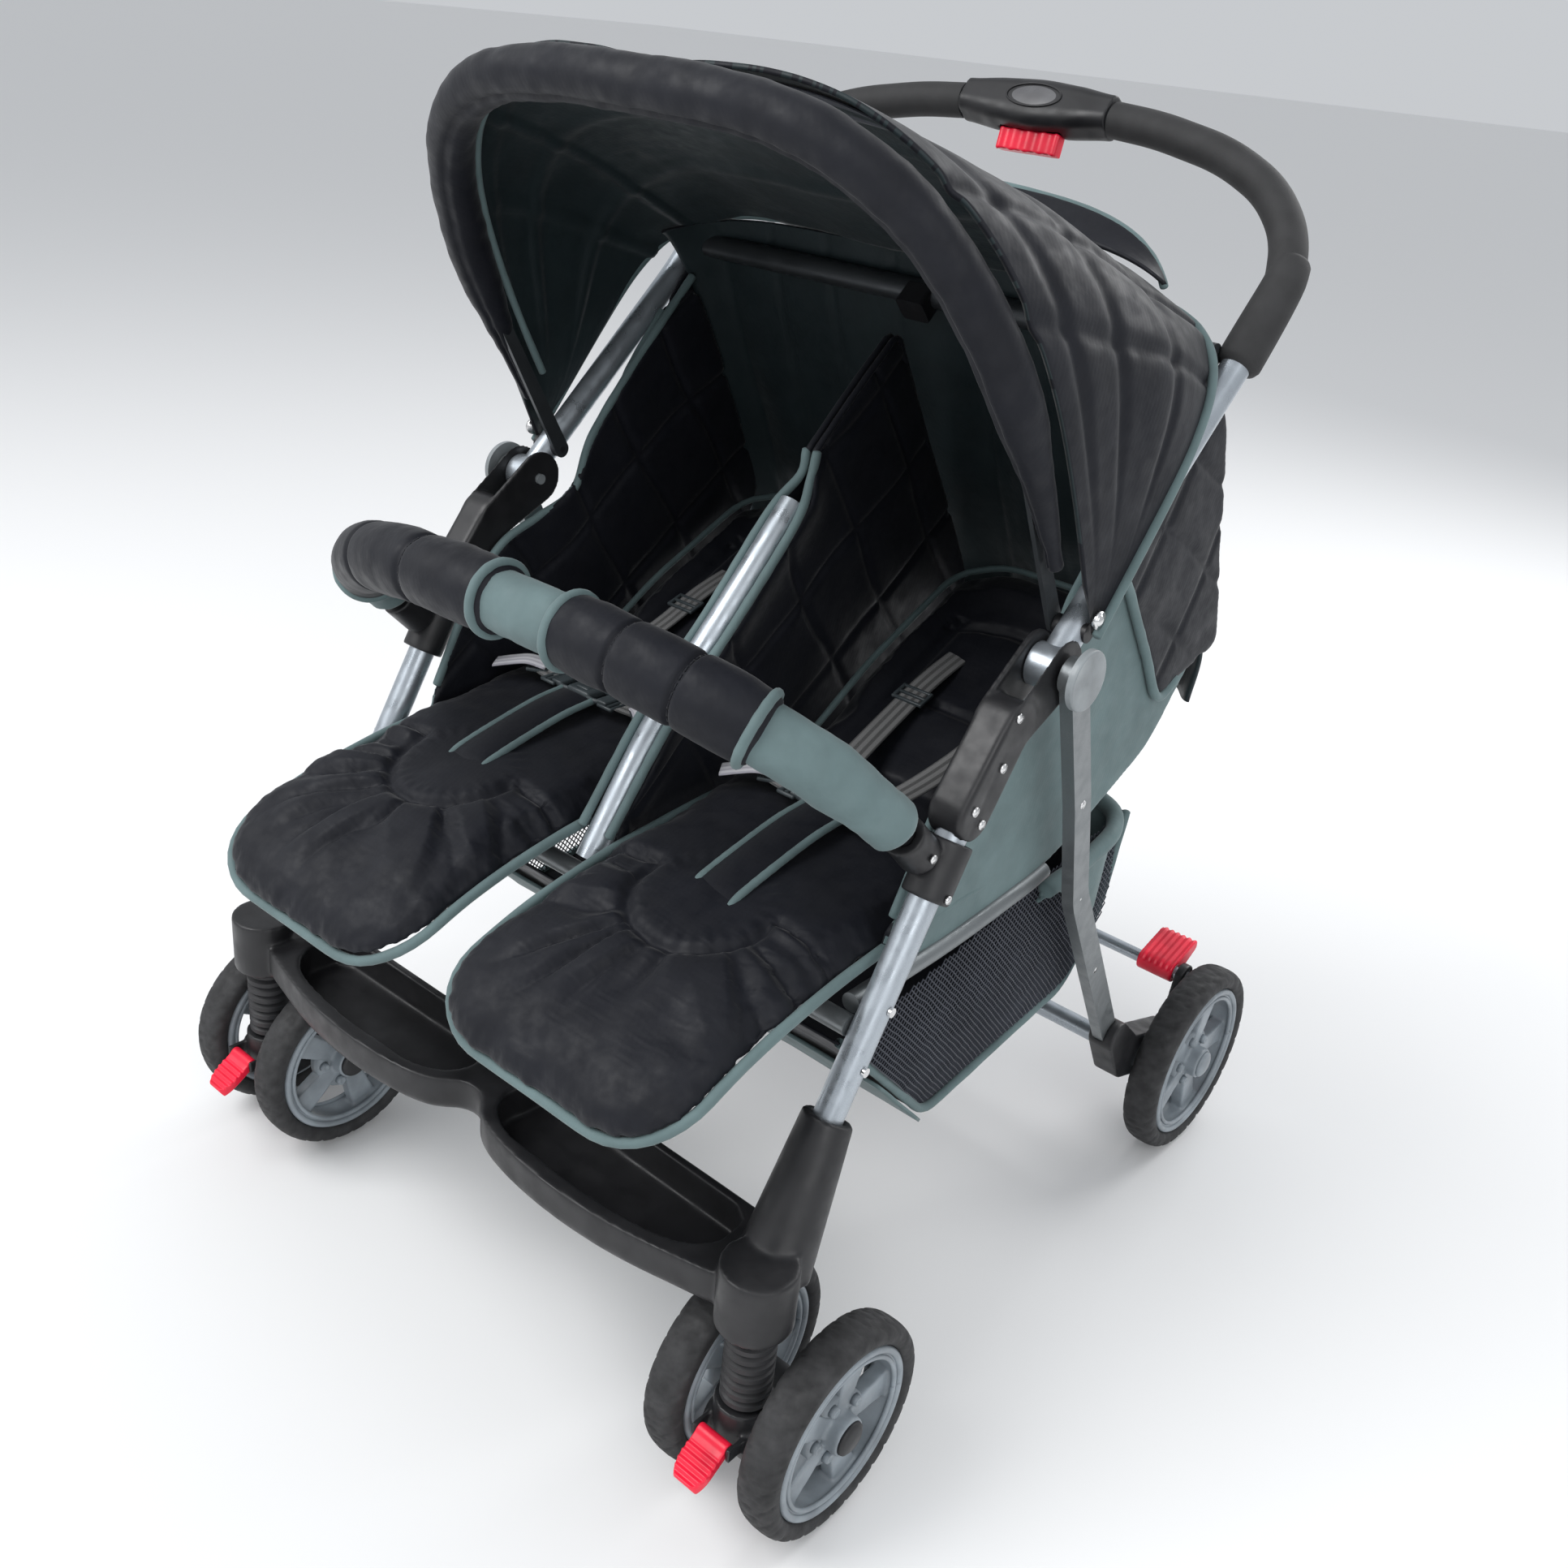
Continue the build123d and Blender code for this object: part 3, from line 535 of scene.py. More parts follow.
def smoothly(value, low, high):
    t = min(1.0, max(0.0, (value - low) / (high - low)))
    return t * t * (3 - 2 * t)


def ripple(point, scale, seed=0.0):
    """Smooth noise from -1 to 1 at a place."""
    return noise.noise(Vector(point) * scale + Vector((seed, seed * 1.7, 3.1)))


def copy_node(node, name, material):
    """A merged copy of a CAD node's mesh as a piece of its own."""
    obj = bpy.data.objects.new(name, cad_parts[node].data.copy())
    obj.data.materials.clear()
    bpy.context.scene.collection.objects.link(obj)
    tidy_mesh(obj, 1e-5)
    obj.data.materials.append(finish(material))
    obj.data.polygons.foreach_set("use_smooth", [True] * len(obj.data.polygons))
    return obj


def moulded(node, name, body, material, voxel=0.0016, rounds=4):
    """A CAD moulding with its edges rounded over, in place of the sharp one."""
    obj = copy_node(node, name, material)
    remesh(obj, voxel, rounds)
    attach(obj, body)
    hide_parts(node)
    return obj


def paint(node, material):
    """Gives a CAD node its finish."""
    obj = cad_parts[node]
    obj.data.materials.clear()
    obj.data.materials.append(finish(material))


# ---- settings ----------------------------------------------------------------------------
def colour_property(name, description, default):
    return bpy.props.FloatVectorProperty(name=name, description=description, default=default,
                                         size=3, min=0, max=1, subtype="COLOR")


class PushchairLook(bpy.types.PropertyGroup):
    """Colours of the pushchair's finishes."""
    cloth: colour_property("Cloth", "Quilted seat and hood cloth", (0.0062, 0.0070, 0.0110))
    lining: colour_property("Lining", "Hood and back lining", (0.016, 0.025, 0.028))
    trim: colour_property("Trim", "Binding, piping and bumper cover", (0.120, 0.172, 0.176))
    silver: colour_property("Silver tube", "Front legs and handle", (0.42, 0.46, 0.50))
    rear_leg: colour_property("Rear leg", "Rear legs and rails", (0.19, 0.205, 0.212))
    plastic: colour_property("Black plastic", "Mouldings", (0.012, 0.012, 0.0135))
    accent: colour_property("Accent", "Trigger, brake and swivel locks", (0.74, 0.010, 0.040))
    rim: colour_property("Rims", "Wheel rims", (0.22, 0.25, 0.275))


class PushchairSizes(bpy.types.PropertyGroup):
    """Sizes of soft details."""
    piping: bpy.props.FloatProperty(name="Piping", description="Radius of the bound edges",
                                    default=0.0034, unit="LENGTH")
    web_width: bpy.props.FloatProperty(name="Webbing", description="Width of the harness webbing",
                                       default=0.025, unit="LENGTH")
    web_thick: bpy.props.FloatProperty(name="Webbing thickness", description="Thickness of the webbing",
                                       default=0.0018, unit="LENGTH")
    cloth_thick: bpy.props.FloatProperty(name="Cloth", description="Thickness of quilted cloth",
                                         default=0.004, unit="LENGTH")
    net_pitch: bpy.props.FloatProperty(name="Net pitch", description="Cell size of the basket net",
                                       default=0.0065, unit="LENGTH")
    tread_blocks: bpy.props.IntProperty(name="Tread grooves", description="Grooves round a tyre",
                                        default=30, min=8, max=80)


# ---- shared steps of the operators ---------------------------------------------------------
def settle(obj, body, slot, *nodes):
    """Puts a finished piece on its body, in place of the CAD nodes that it stands for."""
    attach(obj, body)
    if nodes:
        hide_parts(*nodes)
    return obj


def bridge(obj, body, other, start, end, slot, *nodes):
    """A finished cloth piece lying between two bodies: its transform is baked into the mesh, it is attached
    to neither body, and the CAD nodes that it stands for are hidden.
    """
    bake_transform(obj)
    if nodes:
        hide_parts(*nodes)
    return obj


def soften_outline(outline, cut, steps=5):
    """The closed outline with each corner rounded off, cut metres back along both edges."""
    points = [Vector(p) for p in outline]
    rounded = []
    for before, here, after in zip(points[-1:] + points[:-1], points, points[1:] + points[:1]):
        back, ahead = before - here, after - here
        a = here + back.normalized() * min(cut, back.length * 0.45)
        b = here + ahead.normalized() * min(cut, ahead.length * 0.45)
        for i in range(steps + 1):
            t = i / steps
            rounded.append(a * (1 - t) ** 2 + here * 2 * t * (1 - t) + b * t * t)
    return rounded


def soften_path(points, cut=0.02, steps=6):
    """The open line with its inner corners rounded off."""
    rounded = [points[0]]
    for before, here, after in zip(points, points[1:], points[2:]):
        a, b = here + (before - here).normalized() * cut, here + (after - here).normalized() * cut
        for i in range(steps + 1):
            t = i / steps
            rounded.append(a * (1 - t) ** 2 + here * 2 * t * (1 - t) + b * t * t)
    return rounded + [points[-1]]


def outline_panel(name, outline, low_x, high_x, voxel, material):
    """A thick cloth panel of one outline in Y and Z, evenly meshed with rounded edges."""
    n = len(outline)
    vertices = [(x, y, z) for x in (low_x, high_x) for y, z in outline]
    faces = [tuple(range(n)), tuple(range(n, 2 * n))]
    faces += [(i, (i + 1) % n, (i + 1) % n + n, i + n) for i in range(n)]
    return remesh(new_object(name, vertices, faces, material), voxel, 2)


def second_finish(obj, material, chosen):
    """Gives the faces that chosen(centre, normal) picks another finish."""
    obj.data.materials.append(finish(material))
    index = len(obj.data.materials) - 1
    for polygon in obj.data.polygons:
        if chosen(polygon.center, polygon.normal):
            polygon.material_index = index
    return obj


def seam(distance, wide):
    """Depth share of a sewn groove at a distance from its line."""
    return math.exp(-(distance / wide) ** 2)


def rounded_block(name, size, centre, bevel, material, axes=None):
    """A small moulded block with rounded edges, turned to axes if they are given."""
    made = bmesh.new()
    bmesh.ops.create_cube(made, size=1.0)
    turn = Matrix([list(a) for a in axes]).transposed() if axes else Matrix.Identity(3)
    for vertex in made.verts:
        vertex.co = Vector(centre) + turn @ Vector(c * s for c, s in zip(vertex.co, size))
    mesh = bpy.data.meshes.new(name)
    bmesh.ops.recalc_face_normals(made, faces=made.faces)
    made.to_mesh(mesh)
    made.free()
    obj = bpy.data.objects.new(name, mesh)
    bpy.context.scene.collection.objects.link(obj)
    mesh.materials.append(finish(material))
    modifier = obj.modifiers.new("Round", "BEVEL")
    modifier.width, modifier.segments, modifier.limit_method = bevel, 4, "NONE"
    apply_modifiers(obj)
    obj.data.polygons.foreach_set("use_smooth", [True] * len(obj.data.polygons))
    return obj


def turned(name, profile, centre, axis, material, around=48):
    """A turned shape: profile of (along axis, radius) points, closed at both ends."""
    axis = Vector(axis).normalized()
    side = axis.cross(Vector((0, 0, 1)) if abs(axis.z) < 0.9 else Vector((1, 0, 0))).normalized()
    top = axis.cross(side)
    vertices, faces = [], []
    for along, radius in profile:
        for k in range(around):
            a = 2 * math.pi * k / around
            vertices.append(Vector(centre) + axis * along + (side * math.cos(a) + top * math.sin(a)) * radius)
    for i in range(len(profile) - 1):
        for k in range(around):
            n = (k + 1) % around
            faces.append((i * around + k, i * around + n, (i + 1) * around + n, (i + 1) * around + k))
    faces.append(tuple(range(around)))
    faces.append(tuple(range((len(profile) - 1) * around, len(profile) * around)))
    return new_object(name, vertices, faces, material)


class PadForm:
    """A pad laid out flat: w across, s along its profile and n up from its middle."""

    def __init__(self, centre_x, half, profile, front_corner, back_corner):
        self.centre_x, self.half = centre_x, half
        self.corners = (back_corner, front_corner)
        line = spline([Vector((0, y, z)) for y, z in profile], 200)
        self.line = np.array([[p.y, p.z] for p in line])
        steps = np.linalg.norm(np.diff(self.line, axis=0), axis=1)
        self.along = np.concatenate([[0], np.cumsum(steps)])
        self.long = float(self.along[-1])
        tangent = np.gradient(self.line, axis=0)
        tangent /= np.linalg.norm(tangent, axis=1, keepdims=True)
        up = np.stack([-tangent[:, 1], tangent[:, 0]], -1)
        self.flip = math.copysign(1, up[:, 1].mean())
        self.up = up * self.flip

    def place(self, w, s, n=0.0):
        y, z = (float(np.interp(s, self.along, self.line[:, k])) for k in (0, 1))
        a, b = (float(np.interp(s, self.along, self.up[:, k])) for k in (0, 1))
        over = self.flip * (s - min(max(s, 0), self.long))
        return Vector((self.centre_x + w, y + a * n + over * b, z + b * n - over * a))

    def locate(self, point):
        """(w, s, n) of a point near the pad."""
        step = self.line - np.array([point.y, point.z])
        i = int(np.argmin((step ** 2).sum(1)))
        return point.x - self.centre_x, float(self.along[i]), float(-(step[i] * self.up[i]).sum())

    def inside(self, w, s):
        """Distance to the pad's rounded outline, positive inside."""
        corner = self.corners[s > self.long / 2]
        a = abs(w) - self.half + corner
        b = abs(s - self.long / 2) - self.long / 2 + corner
        return corner - min(max(a, b), 0) - math.hypot(max(a, 0), max(b, 0))

    def outline(self, grow=0.0, step=0.012):
        """(w, s) points round the pad, from the back's middle past the front and back."""
        half, ends = self.half + grow, (-grow, self.long + grow)
        back, front = (c + grow for c in self.corners)
        stops = [(0, ends[0])]
        corners = ((1, 0, back, -90), (1, 1, front, 0), (-1, 1, front, 90), (-1, 0, back, 180))
        for sign_w, end, corner, first in corners:
            inwards = 1 if end == 0 else -1
            for i in range(9):
                a = math.radians(first + 90 * i / 8)
                stops.append((sign_w * (half - corner) + corner * math.cos(a),
                              ends[end] + inwards * corner + corner * math.sin(a)))
        stops.append((0, ends[0]))
        line = [Vector((w, s, 0)) for w, s in stops]
        total = sum((b - a).length for a, b in zip(line, line[1:]))
        return [(p.x, p.y) for p in even(line, int(total / step))]

    def solid(self, name, top, bottom, shoulder, material, lift=None, voxel=0.005, pressure=4.0, cap=0.007):
        """The swollen pad: crowned on both faces and pulled in to its edge."""
        lift = lift or (lambda w, s: 0.0)
        ring = self.outline(0.005)[:-1]
        shares = [1, 0.985, 0.96, 0.92, 0.87, 0.8, 0.7, 0.58, 0.44, 0.28, 0.12]
        vertices, faces = [], []
        count = len(ring)
        middle = self.long / 2
        for face, height in ((1, top), (-1, bottom)):
            start = len(vertices)
            for share in shares:
                for w, s in ring:
                    a, b = w * share, middle + (s - middle) * share
                    crown = math.sqrt(max(0.0, 1 - (1 - min(1.0, self.inside(a, b) / shoulder)) ** 2))
                    vertices.append(self.place(a, b, face * height * crown + lift(a, b)))
            for i in range(len(shares) - 1):
                for k in range(count):
                    n = (k + 1) % count
                    faces.append((start + i * count + k, start + i * count + n,
                                  start + (i + 1) * count + n, start + (i + 1) * count + k))
            faces.append(tuple(range(len(vertices) - count, len(vertices))))
        pad = inflate(new_object(name, vertices, faces, material), voxel, pressure, cap)
        return subdivide(pad, 1)


# ---- geometry node trees -----------------------------------------------------------------
def node_tree(name, sizes):
    """A geometry tree with a mesh input, named size inputs and a material input."""
    tree = bpy.data.node_groups.new(name, "GeometryNodeTree")
    tree.interface.new_socket("Geometry", in_out="INPUT", socket_type="NodeSocketGeometry")
    for size, value in sizes.items():
        socket = tree.interface.new_socket(size, in_out="INPUT", socket_type="NodeSocketFloat")
        socket.default_value = value
        socket.subtype = "DISTANCE"
    tree.interface.new_socket("Finish", in_out="INPUT", socket_type="NodeSocketMaterial")
    tree.interface.new_socket("Geometry", in_out="OUTPUT", socket_type="NodeSocketGeometry")
    return tree, tree.nodes.new("NodeGroupInput"), tree.nodes.new("NodeGroupOutput")


def finish_tree(tree, source, into, made):
    """Ends a tree in Realize Instances and Set Material."""
    real, paint_it = tree.nodes.new("GeometryNodeRealizeInstances"), tree.nodes.new("GeometryNodeSetMaterial")
    smooth = tree.nodes.new("GeometryNodeSetShadeSmooth")
    tree.links.new(made, real.inputs["Geometry"])
    tree.links.new(real.outputs["Geometry"], smooth.inputs["Geometry"])
    tree.links.new(smooth.outputs["Geometry"], paint_it.inputs["Geometry"])
    tree.links.new(source.outputs["Finish"], paint_it.inputs["Material"])
    tree.links.new(paint_it.outputs["Geometry"], into.inputs["Geometry"])
    return tree


def screw_tree():
    """A domed head on a washer at each vertex, facing along the attribute 'facing'."""
    if "Screw heads" in bpy.data.node_groups:
        return bpy.data.node_groups["Screw heads"]
    tree, source, into = node_tree("Screw heads", {"Radius": 0.004, "Height": 0.002})
    add, link = tree.nodes.new, tree.links.new
    facing = add("GeometryNodeInputNamedAttribute")
    facing.data_type = "FLOAT_VECTOR"
    facing.inputs["Name"].default_value = "facing"
    turn = add("FunctionNodeAlignRotationToVector")
    turn.axis = "Z"
    link(facing.outputs["Attribute"], turn.inputs["Vector"])
    washer, dome = add("GeometryNodeMeshCylinder"), add("GeometryNodeMeshUVSphere")
    size = add("GeometryNodeTransform")
    washer.inputs["Vertices"].default_value = 20
    link(source.outputs["Radius"], washer.inputs["Radius"])
    link(source.outputs["Height"], washer.inputs["Depth"])
    dome.inputs["Segments"].default_value, dome.inputs["Rings"].default_value = 16, 8
    smaller = add("ShaderNodeMath")
    smaller.operation = "MULTIPLY"
    smaller.inputs[1].default_value = 0.72
    link(source.outputs["Radius"], smaller.inputs[0])
    link(smaller.outputs["Value"], dome.inputs["Radius"])
    size.inputs["Scale"].default_value = (1, 1, 0.62)
    both, copies = add("GeometryNodeJoinGeometry"), add("GeometryNodeInstanceOnPoints")
    link(dome.outputs["Mesh"], size.inputs["Geometry"])
    link(washer.outputs["Mesh"], both.inputs["Geometry"])
    link(size.outputs["Geometry"], both.inputs["Geometry"])
    link(source.outputs["Geometry"], copies.inputs["Points"])
    link(both.outputs["Geometry"], copies.inputs["Instance"])
    link(turn.outputs["Rotation"], copies.inputs["Rotation"])
    return finish_tree(tree, source, into, copies.outputs["Instances"])


def thread_tree():
    """Short threads along every edge line, end to end with a gap, as sewn stitches."""
    if "Stitches" in bpy.data.node_groups:
        return bpy.data.node_groups["Stitches"]
    tree, source, into = node_tree("Stitches", {"Pitch": 0.005, "Thread": 0.0006})
    add, link = tree.nodes.new, tree.links.new
    curve, spaced = add("GeometryNodeMeshToCurve"), add("GeometryNodeResampleCurve")
    spaced.mode = "LENGTH"
    copies, turn, tangent = (add("GeometryNodeInstanceOnPoints"), add("FunctionNodeAlignRotationToVector"),
                             add("GeometryNodeInputTangent"))
    turn.axis = "Z"
    stitch, shorter = add("GeometryNodeMeshCylinder"), add("ShaderNodeMath")
    stitch.inputs["Vertices"].default_value = 6
    shorter.operation = "MULTIPLY"
    shorter.inputs[1].default_value = 0.68
    link(source.outputs["Pitch"], shorter.inputs[0])
    link(shorter.outputs["Value"], stitch.inputs["Depth"])
    link(source.outputs["Thread"], stitch.inputs["Radius"])
    link(source.outputs["Geometry"], curve.inputs["Mesh"])
    link(curve.outputs["Curve"], spaced.inputs["Curve"])
    link(source.outputs["Pitch"], spaced.inputs["Length"])
    link(tangent.outputs["Tangent"], turn.inputs["Vector"])
    link(spaced.outputs["Curve"], copies.inputs["Points"])
    link(stitch.outputs["Mesh"], copies.inputs["Instance"])
    link(turn.outputs["Rotation"], copies.inputs["Rotation"])
    return finish_tree(tree, source, into, copies.outputs["Instances"])


def net_tree():
    """A thin cord along every edge of a mesh, as knotted net."""
    if "Net" in bpy.data.node_groups:
        return bpy.data.node_groups["Net"]
    tree, source, into = node_tree("Net", {"Cord": 0.0006})
    add, link = tree.nodes.new, tree.links.new
    curve, round_it = add("GeometryNodeMeshToCurve"), add("GeometryNodeCurveToMesh")
    cord = add("GeometryNodeCurvePrimitiveCircle")
    cord.inputs["Resolution"].default_value = 3
    round_it.inputs["Fill Caps"].default_value = True
    link(source.outputs["Cord"], cord.inputs["Radius"])
    link(source.outputs["Geometry"], curve.inputs["Mesh"])
    link(curve.outputs["Curve"], round_it.inputs["Curve"])
    link(cord.outputs["Curve"], round_it.inputs["Profile Curve"])
    return finish_tree(tree, source, into, round_it.outputs["Mesh"])


def grow(name, points, edges, tree, material, facing=None, **sizes):
    """Runs a tree on a mesh of points and edges and keeps the result as a plain mesh."""
    mesh = bpy.data.meshes.new(name)
    mesh.from_pydata([tuple(p) for p in points], edges, [])
    if facing:
        mesh.attributes.new("facing", "FLOAT_VECTOR", "POINT").data.foreach_set(
            "vector", [c for f in facing for c in f])
    obj = bpy.data.objects.new(name, mesh)
    bpy.context.scene.collection.objects.link(obj)
    modifier = obj.modifiers.new(tree.name, "NODES")
    modifier.node_group = tree
    for item in tree.interface.items_tree:
        if item.item_type == "SOCKET" and item.in_out == "INPUT":
            if item.name in sizes:
                modifier[item.identifier] = sizes[item.name]
            elif item.name == "Finish":
                modifier[item.identifier] = finish(material)
    apply_modifiers(obj)
    if not obj.data.materials:
        obj.data.materials.append(finish(material))
    return obj


def sizes():
    return bpy.context.scene.pushchair_sizes


def piping(name, points, radius=None, material="trim cloth"):
    """A bound edge: a round fold of tape with a slightly uneven thickness."""
    size = radius or sizes().piping
    return pipe(name, points, lambda t: size * (1 + 0.10 * ripple((t * 9, size, 0), 3.0)), material, 10)


# ---- frame ---------------------------------------------------------------------------------
class PUSHCHAIR_OT_tubes(bpy.types.Operator):
    """Finish the tubes, rails, pins and foam grips of the folding frame"""
    bl_idname = "pushchair.tubes"
    bl_label = "Tubes and grips"

    def execute(self, context):
        finishes = {
            "silver tube": ("front_leg_left", "front_leg_right", "centre_leg", "handle_tube", "brake_bar",
                            "rear_cross_tube"),
            "grey tube": ("rear_leg_left", "rear_leg_right", "seat_rails", "seat_front_bar"),
            "dark tube": ("cross_tube", "canopy_bow"),
            "grey moulding": ("fold_pins",),
            "bright steel": ("frame_rivets",),
            "boot rubber": ("caster_boot_left", "caster_boot_right"),
            "black moulding": ("divider_hook", "canopy_mounts"),
        }
        for material, nodes in finishes.items():
            for node in nodes:
                paint(node, material)
        for name, side in SIDES:
            paint(f"grip_{name}", "foam grip")
            low = hoop_point(math.radians(11), **HANDLE)
            line = [Vector((side * p.x, p.y, p.z)) for p in
                    spline([(0.3065, 0.1585, 0.8640), (low.x - 0.003, low.y, low.z),
                            hoop_point(math.radians(17), **HANDLE)], 14)]
            collar = pipe(f"grip_collar_{name}", line, lambda t: 0.0188 - 0.0022 * t * t, "foam grip", 28)
            settle(collar, "handle", "foam_grip")
        return {"FINISHED"}


class PUSHCHAIR_OT_mouldings(bpy.types.Operator):
    """Round the edges of the frame's plastic mouldings"""
    bl_idname = "pushchair.mouldings"
    bl_label = "Frame mouldings"

    def execute(self, context):
        moulded("footrest", "footrest_tray", "frame", "black moulding", 0.0022, 6)
        moulded("bumper_clamps", "bumper_end_clamps", "frame", "black moulding", 0.0015, 5)
        plain = (("joint_cover", "joint_casing", "frame"), ("wheel_bracket", "axle_bracket", "rear_frame"),
                 ("recline_plate", "recline_bracket", "backrest_"), ("caster_fork", "caster_yoke", "caster_"))
        for name, _ in SIDES:
            for node, piece, body in plain:
                on = body + name if body.endswith("_") else body
                moulded(f"{node}_{name}", f"{piece}_{name}", on, "black moulding")
            self.swivel_pedal(name)
        pedals = moulded("brake_pedals", "brake_foot_pedals", "brake", "red moulding",
                         0.0013, 5)
        displace(pedals, lambda p, n: 0.0009 * math.sin(p.x * 900) * (n.z > 0.4))
        return {"FINISHED"}

    def swivel_pedal(self, name):
        """The red lock under a caster: a ribbed tongue, narrower towards its tip."""
        lock = moulded(f"swivel_lock_{name}", f"swivel_pedal_{name}", f"swivel_lock_{name}",
                       "red moulding", 0.0009, 6)
        low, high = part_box(f"swivel_lock_{name}")
        middle, tongue, ribbed = (low.x + high.x) / 2, 0.016, 0.024
        displace(lock, lambda p, n: 0.0007 * math.sin((p.y - low.y) * 1300) * (n.z > 0.3)
                 * (p.y < low.y + ribbed))
        for vertex in lock.data.vertices:
            past = max(0.0, (low.y + tongue - vertex.co.y) / tongue)
            width = 0.35 + 0.65 * math.sqrt(max(0.0, 1 - past ** 2))
            vertex.co.x = middle + (vertex.co.x - middle) * width


# ---- wheels ----------------------------------------------------------------------------------
def tyre(name, centre, radius, rim_radius, half):
    """A treaded tyre: slanted shoulder grooves with staggered sides."""
    blocks = sizes().tread_blocks
    around, loop = blocks * 8, 26
    deep, middle = (radius - rim_radius) / 2, (radius + rim_radius) / 2
    vertices, faces = [], []
    for i in range(around):
        angle = 2 * math.pi * i / around
        for k in range(loop):
            b = 2 * math.pi * k / loop
            x = half * math.copysign(abs(math.cos(b)) ** 0.75, math.cos(b))
            r = middle + deep * math.copysign(abs(math.sin(b)) ** 0.75, math.sin(b))
            phase = (blocks * angle / (2 * math.pi) + 1.3 * abs(x) / half + (0.5 if x > 0 else 0)) % 1
            tread = smoothly(math.sin(b), -0.25, 0.25) * smoothly(abs(x) / half, 0.05, 0.25)
            cut = 0.0017 * smoothly(0.5 - abs(phase - 0.5), 0.0, 0.12)
            r -= (0.0019 - cut) * tread
            x *= 1 + 0.03 * (cut / 0.0017 - 1) * tread
            vertices.append((centre.x + x, centre.y + r * math.cos(angle), centre.z + r * math.sin(angle)))
    for i in range(around):
        for k in range(loop):
            n, m = (i + 1) % around, (k + 1) % loop
            faces.append((i * loop + k, i * loop + m, n * loop + m, n * loop + k))
    return new_object(name, vertices, faces, "tyre rubber")


def wheel_disc(name, node, centre, radius, side, cap):
    """A moulded wheel: the five-spoked rim with rounded edges, raised lips, a hub cap and bolts."""
    disc = copy_node(node, name, "rim moulding")
    remesh(disc, 0.0017, 5)
    pieces = [disc]
    for x in (-0.0135, 0.0135):
        for share, thick in ((0.975, 0.0034), (0.885, 0.0022)):
            loop = [centre + Vector((x, radius * share * math.cos(a), radius * share * math.sin(a)))
                    for a in np.linspace(0, 2 * math.pi, 97)]
            pieces.append(pipe("lip", loop, thick, "rim moulding", 10, False))
    low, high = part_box(node)
    start = centre + Vector((side * ((high.x - low.x) / 2 - 0.0006), 0, 0))
    cap_profile = [(0, 0.0001), (0, 0.0150), (0.0030, 0.0142), (0.0048, 0.0110), (0.0055, 0.0001)]
    boss_profile = [(0, 0.0001), (0, 0.0052), (0.0050, 0.0044), (0.0050, 0.0022), (0.0036, 0.0001)]
    pieces.append(turned("cap", cap_profile, start, (side, 0, 0), cap))
    for k in range(5):
        angle = math.radians(36 + 72 * k)
        at = centre + Vector((side * 0.0060, 0.026 * math.cos(angle), 0.026 * math.sin(angle)))
        pieces.append(turned("boss", boss_profile, at, (side, 0, 0), "rim moulding", 20))
    collar = [(-0.006, 0.0150), (-0.006, 0.0330), (0.006, 0.0330), (0.006, 0.0150)]
    pieces.append(turned("collar", collar, centre, (side, 0, 0), "rim moulding"))
    return join(name, pieces)


class PUSHCHAIR_OT_wheels(bpy.types.Operator):
    """Build the treaded tyres and the moulded wheels"""
    bl_idname = "pushchair.wheels"
    bl_label = "Wheels"

    def execute(self, context):
        places = []
        for name, side in SIDES:
            places.append((f"rear_tyre_{name}", f"rear_rim_{name}", f"rear_wheel_{name}", side,
                           "rim moulding"))
            for which, outwards in (("inner", -side), ("outer", side)):
                places.append((f"front_tyre_{name}_{which}", f"front_rim_{name}_{which}",
                               f"front_wheel_{name}_{which}", outwards, "black moulding"))
        for tyre_node, rim_node, body, outwards, cap in places:
            low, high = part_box(tyre_node)
            centre, radius, half = (low + high) / 2, (high.z - low.z) / 2, (high.x - low.x) / 2
            rim_low, rim_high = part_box(rim_node)
            rim_radius = (rim_high.z - rim_low.z) / 2
            made = tyre(f"{body}_tyre", centre, radius, rim_radius - 0.0005, half)
            settle(made, body, "tyre", tyre_node)
            disc = wheel_disc(f"{body}_disc", rim_node, centre, rim_radius, outwards, cap)
            settle(disc, body, "rim_plastic", rim_node)
        return {"FINISHED"}


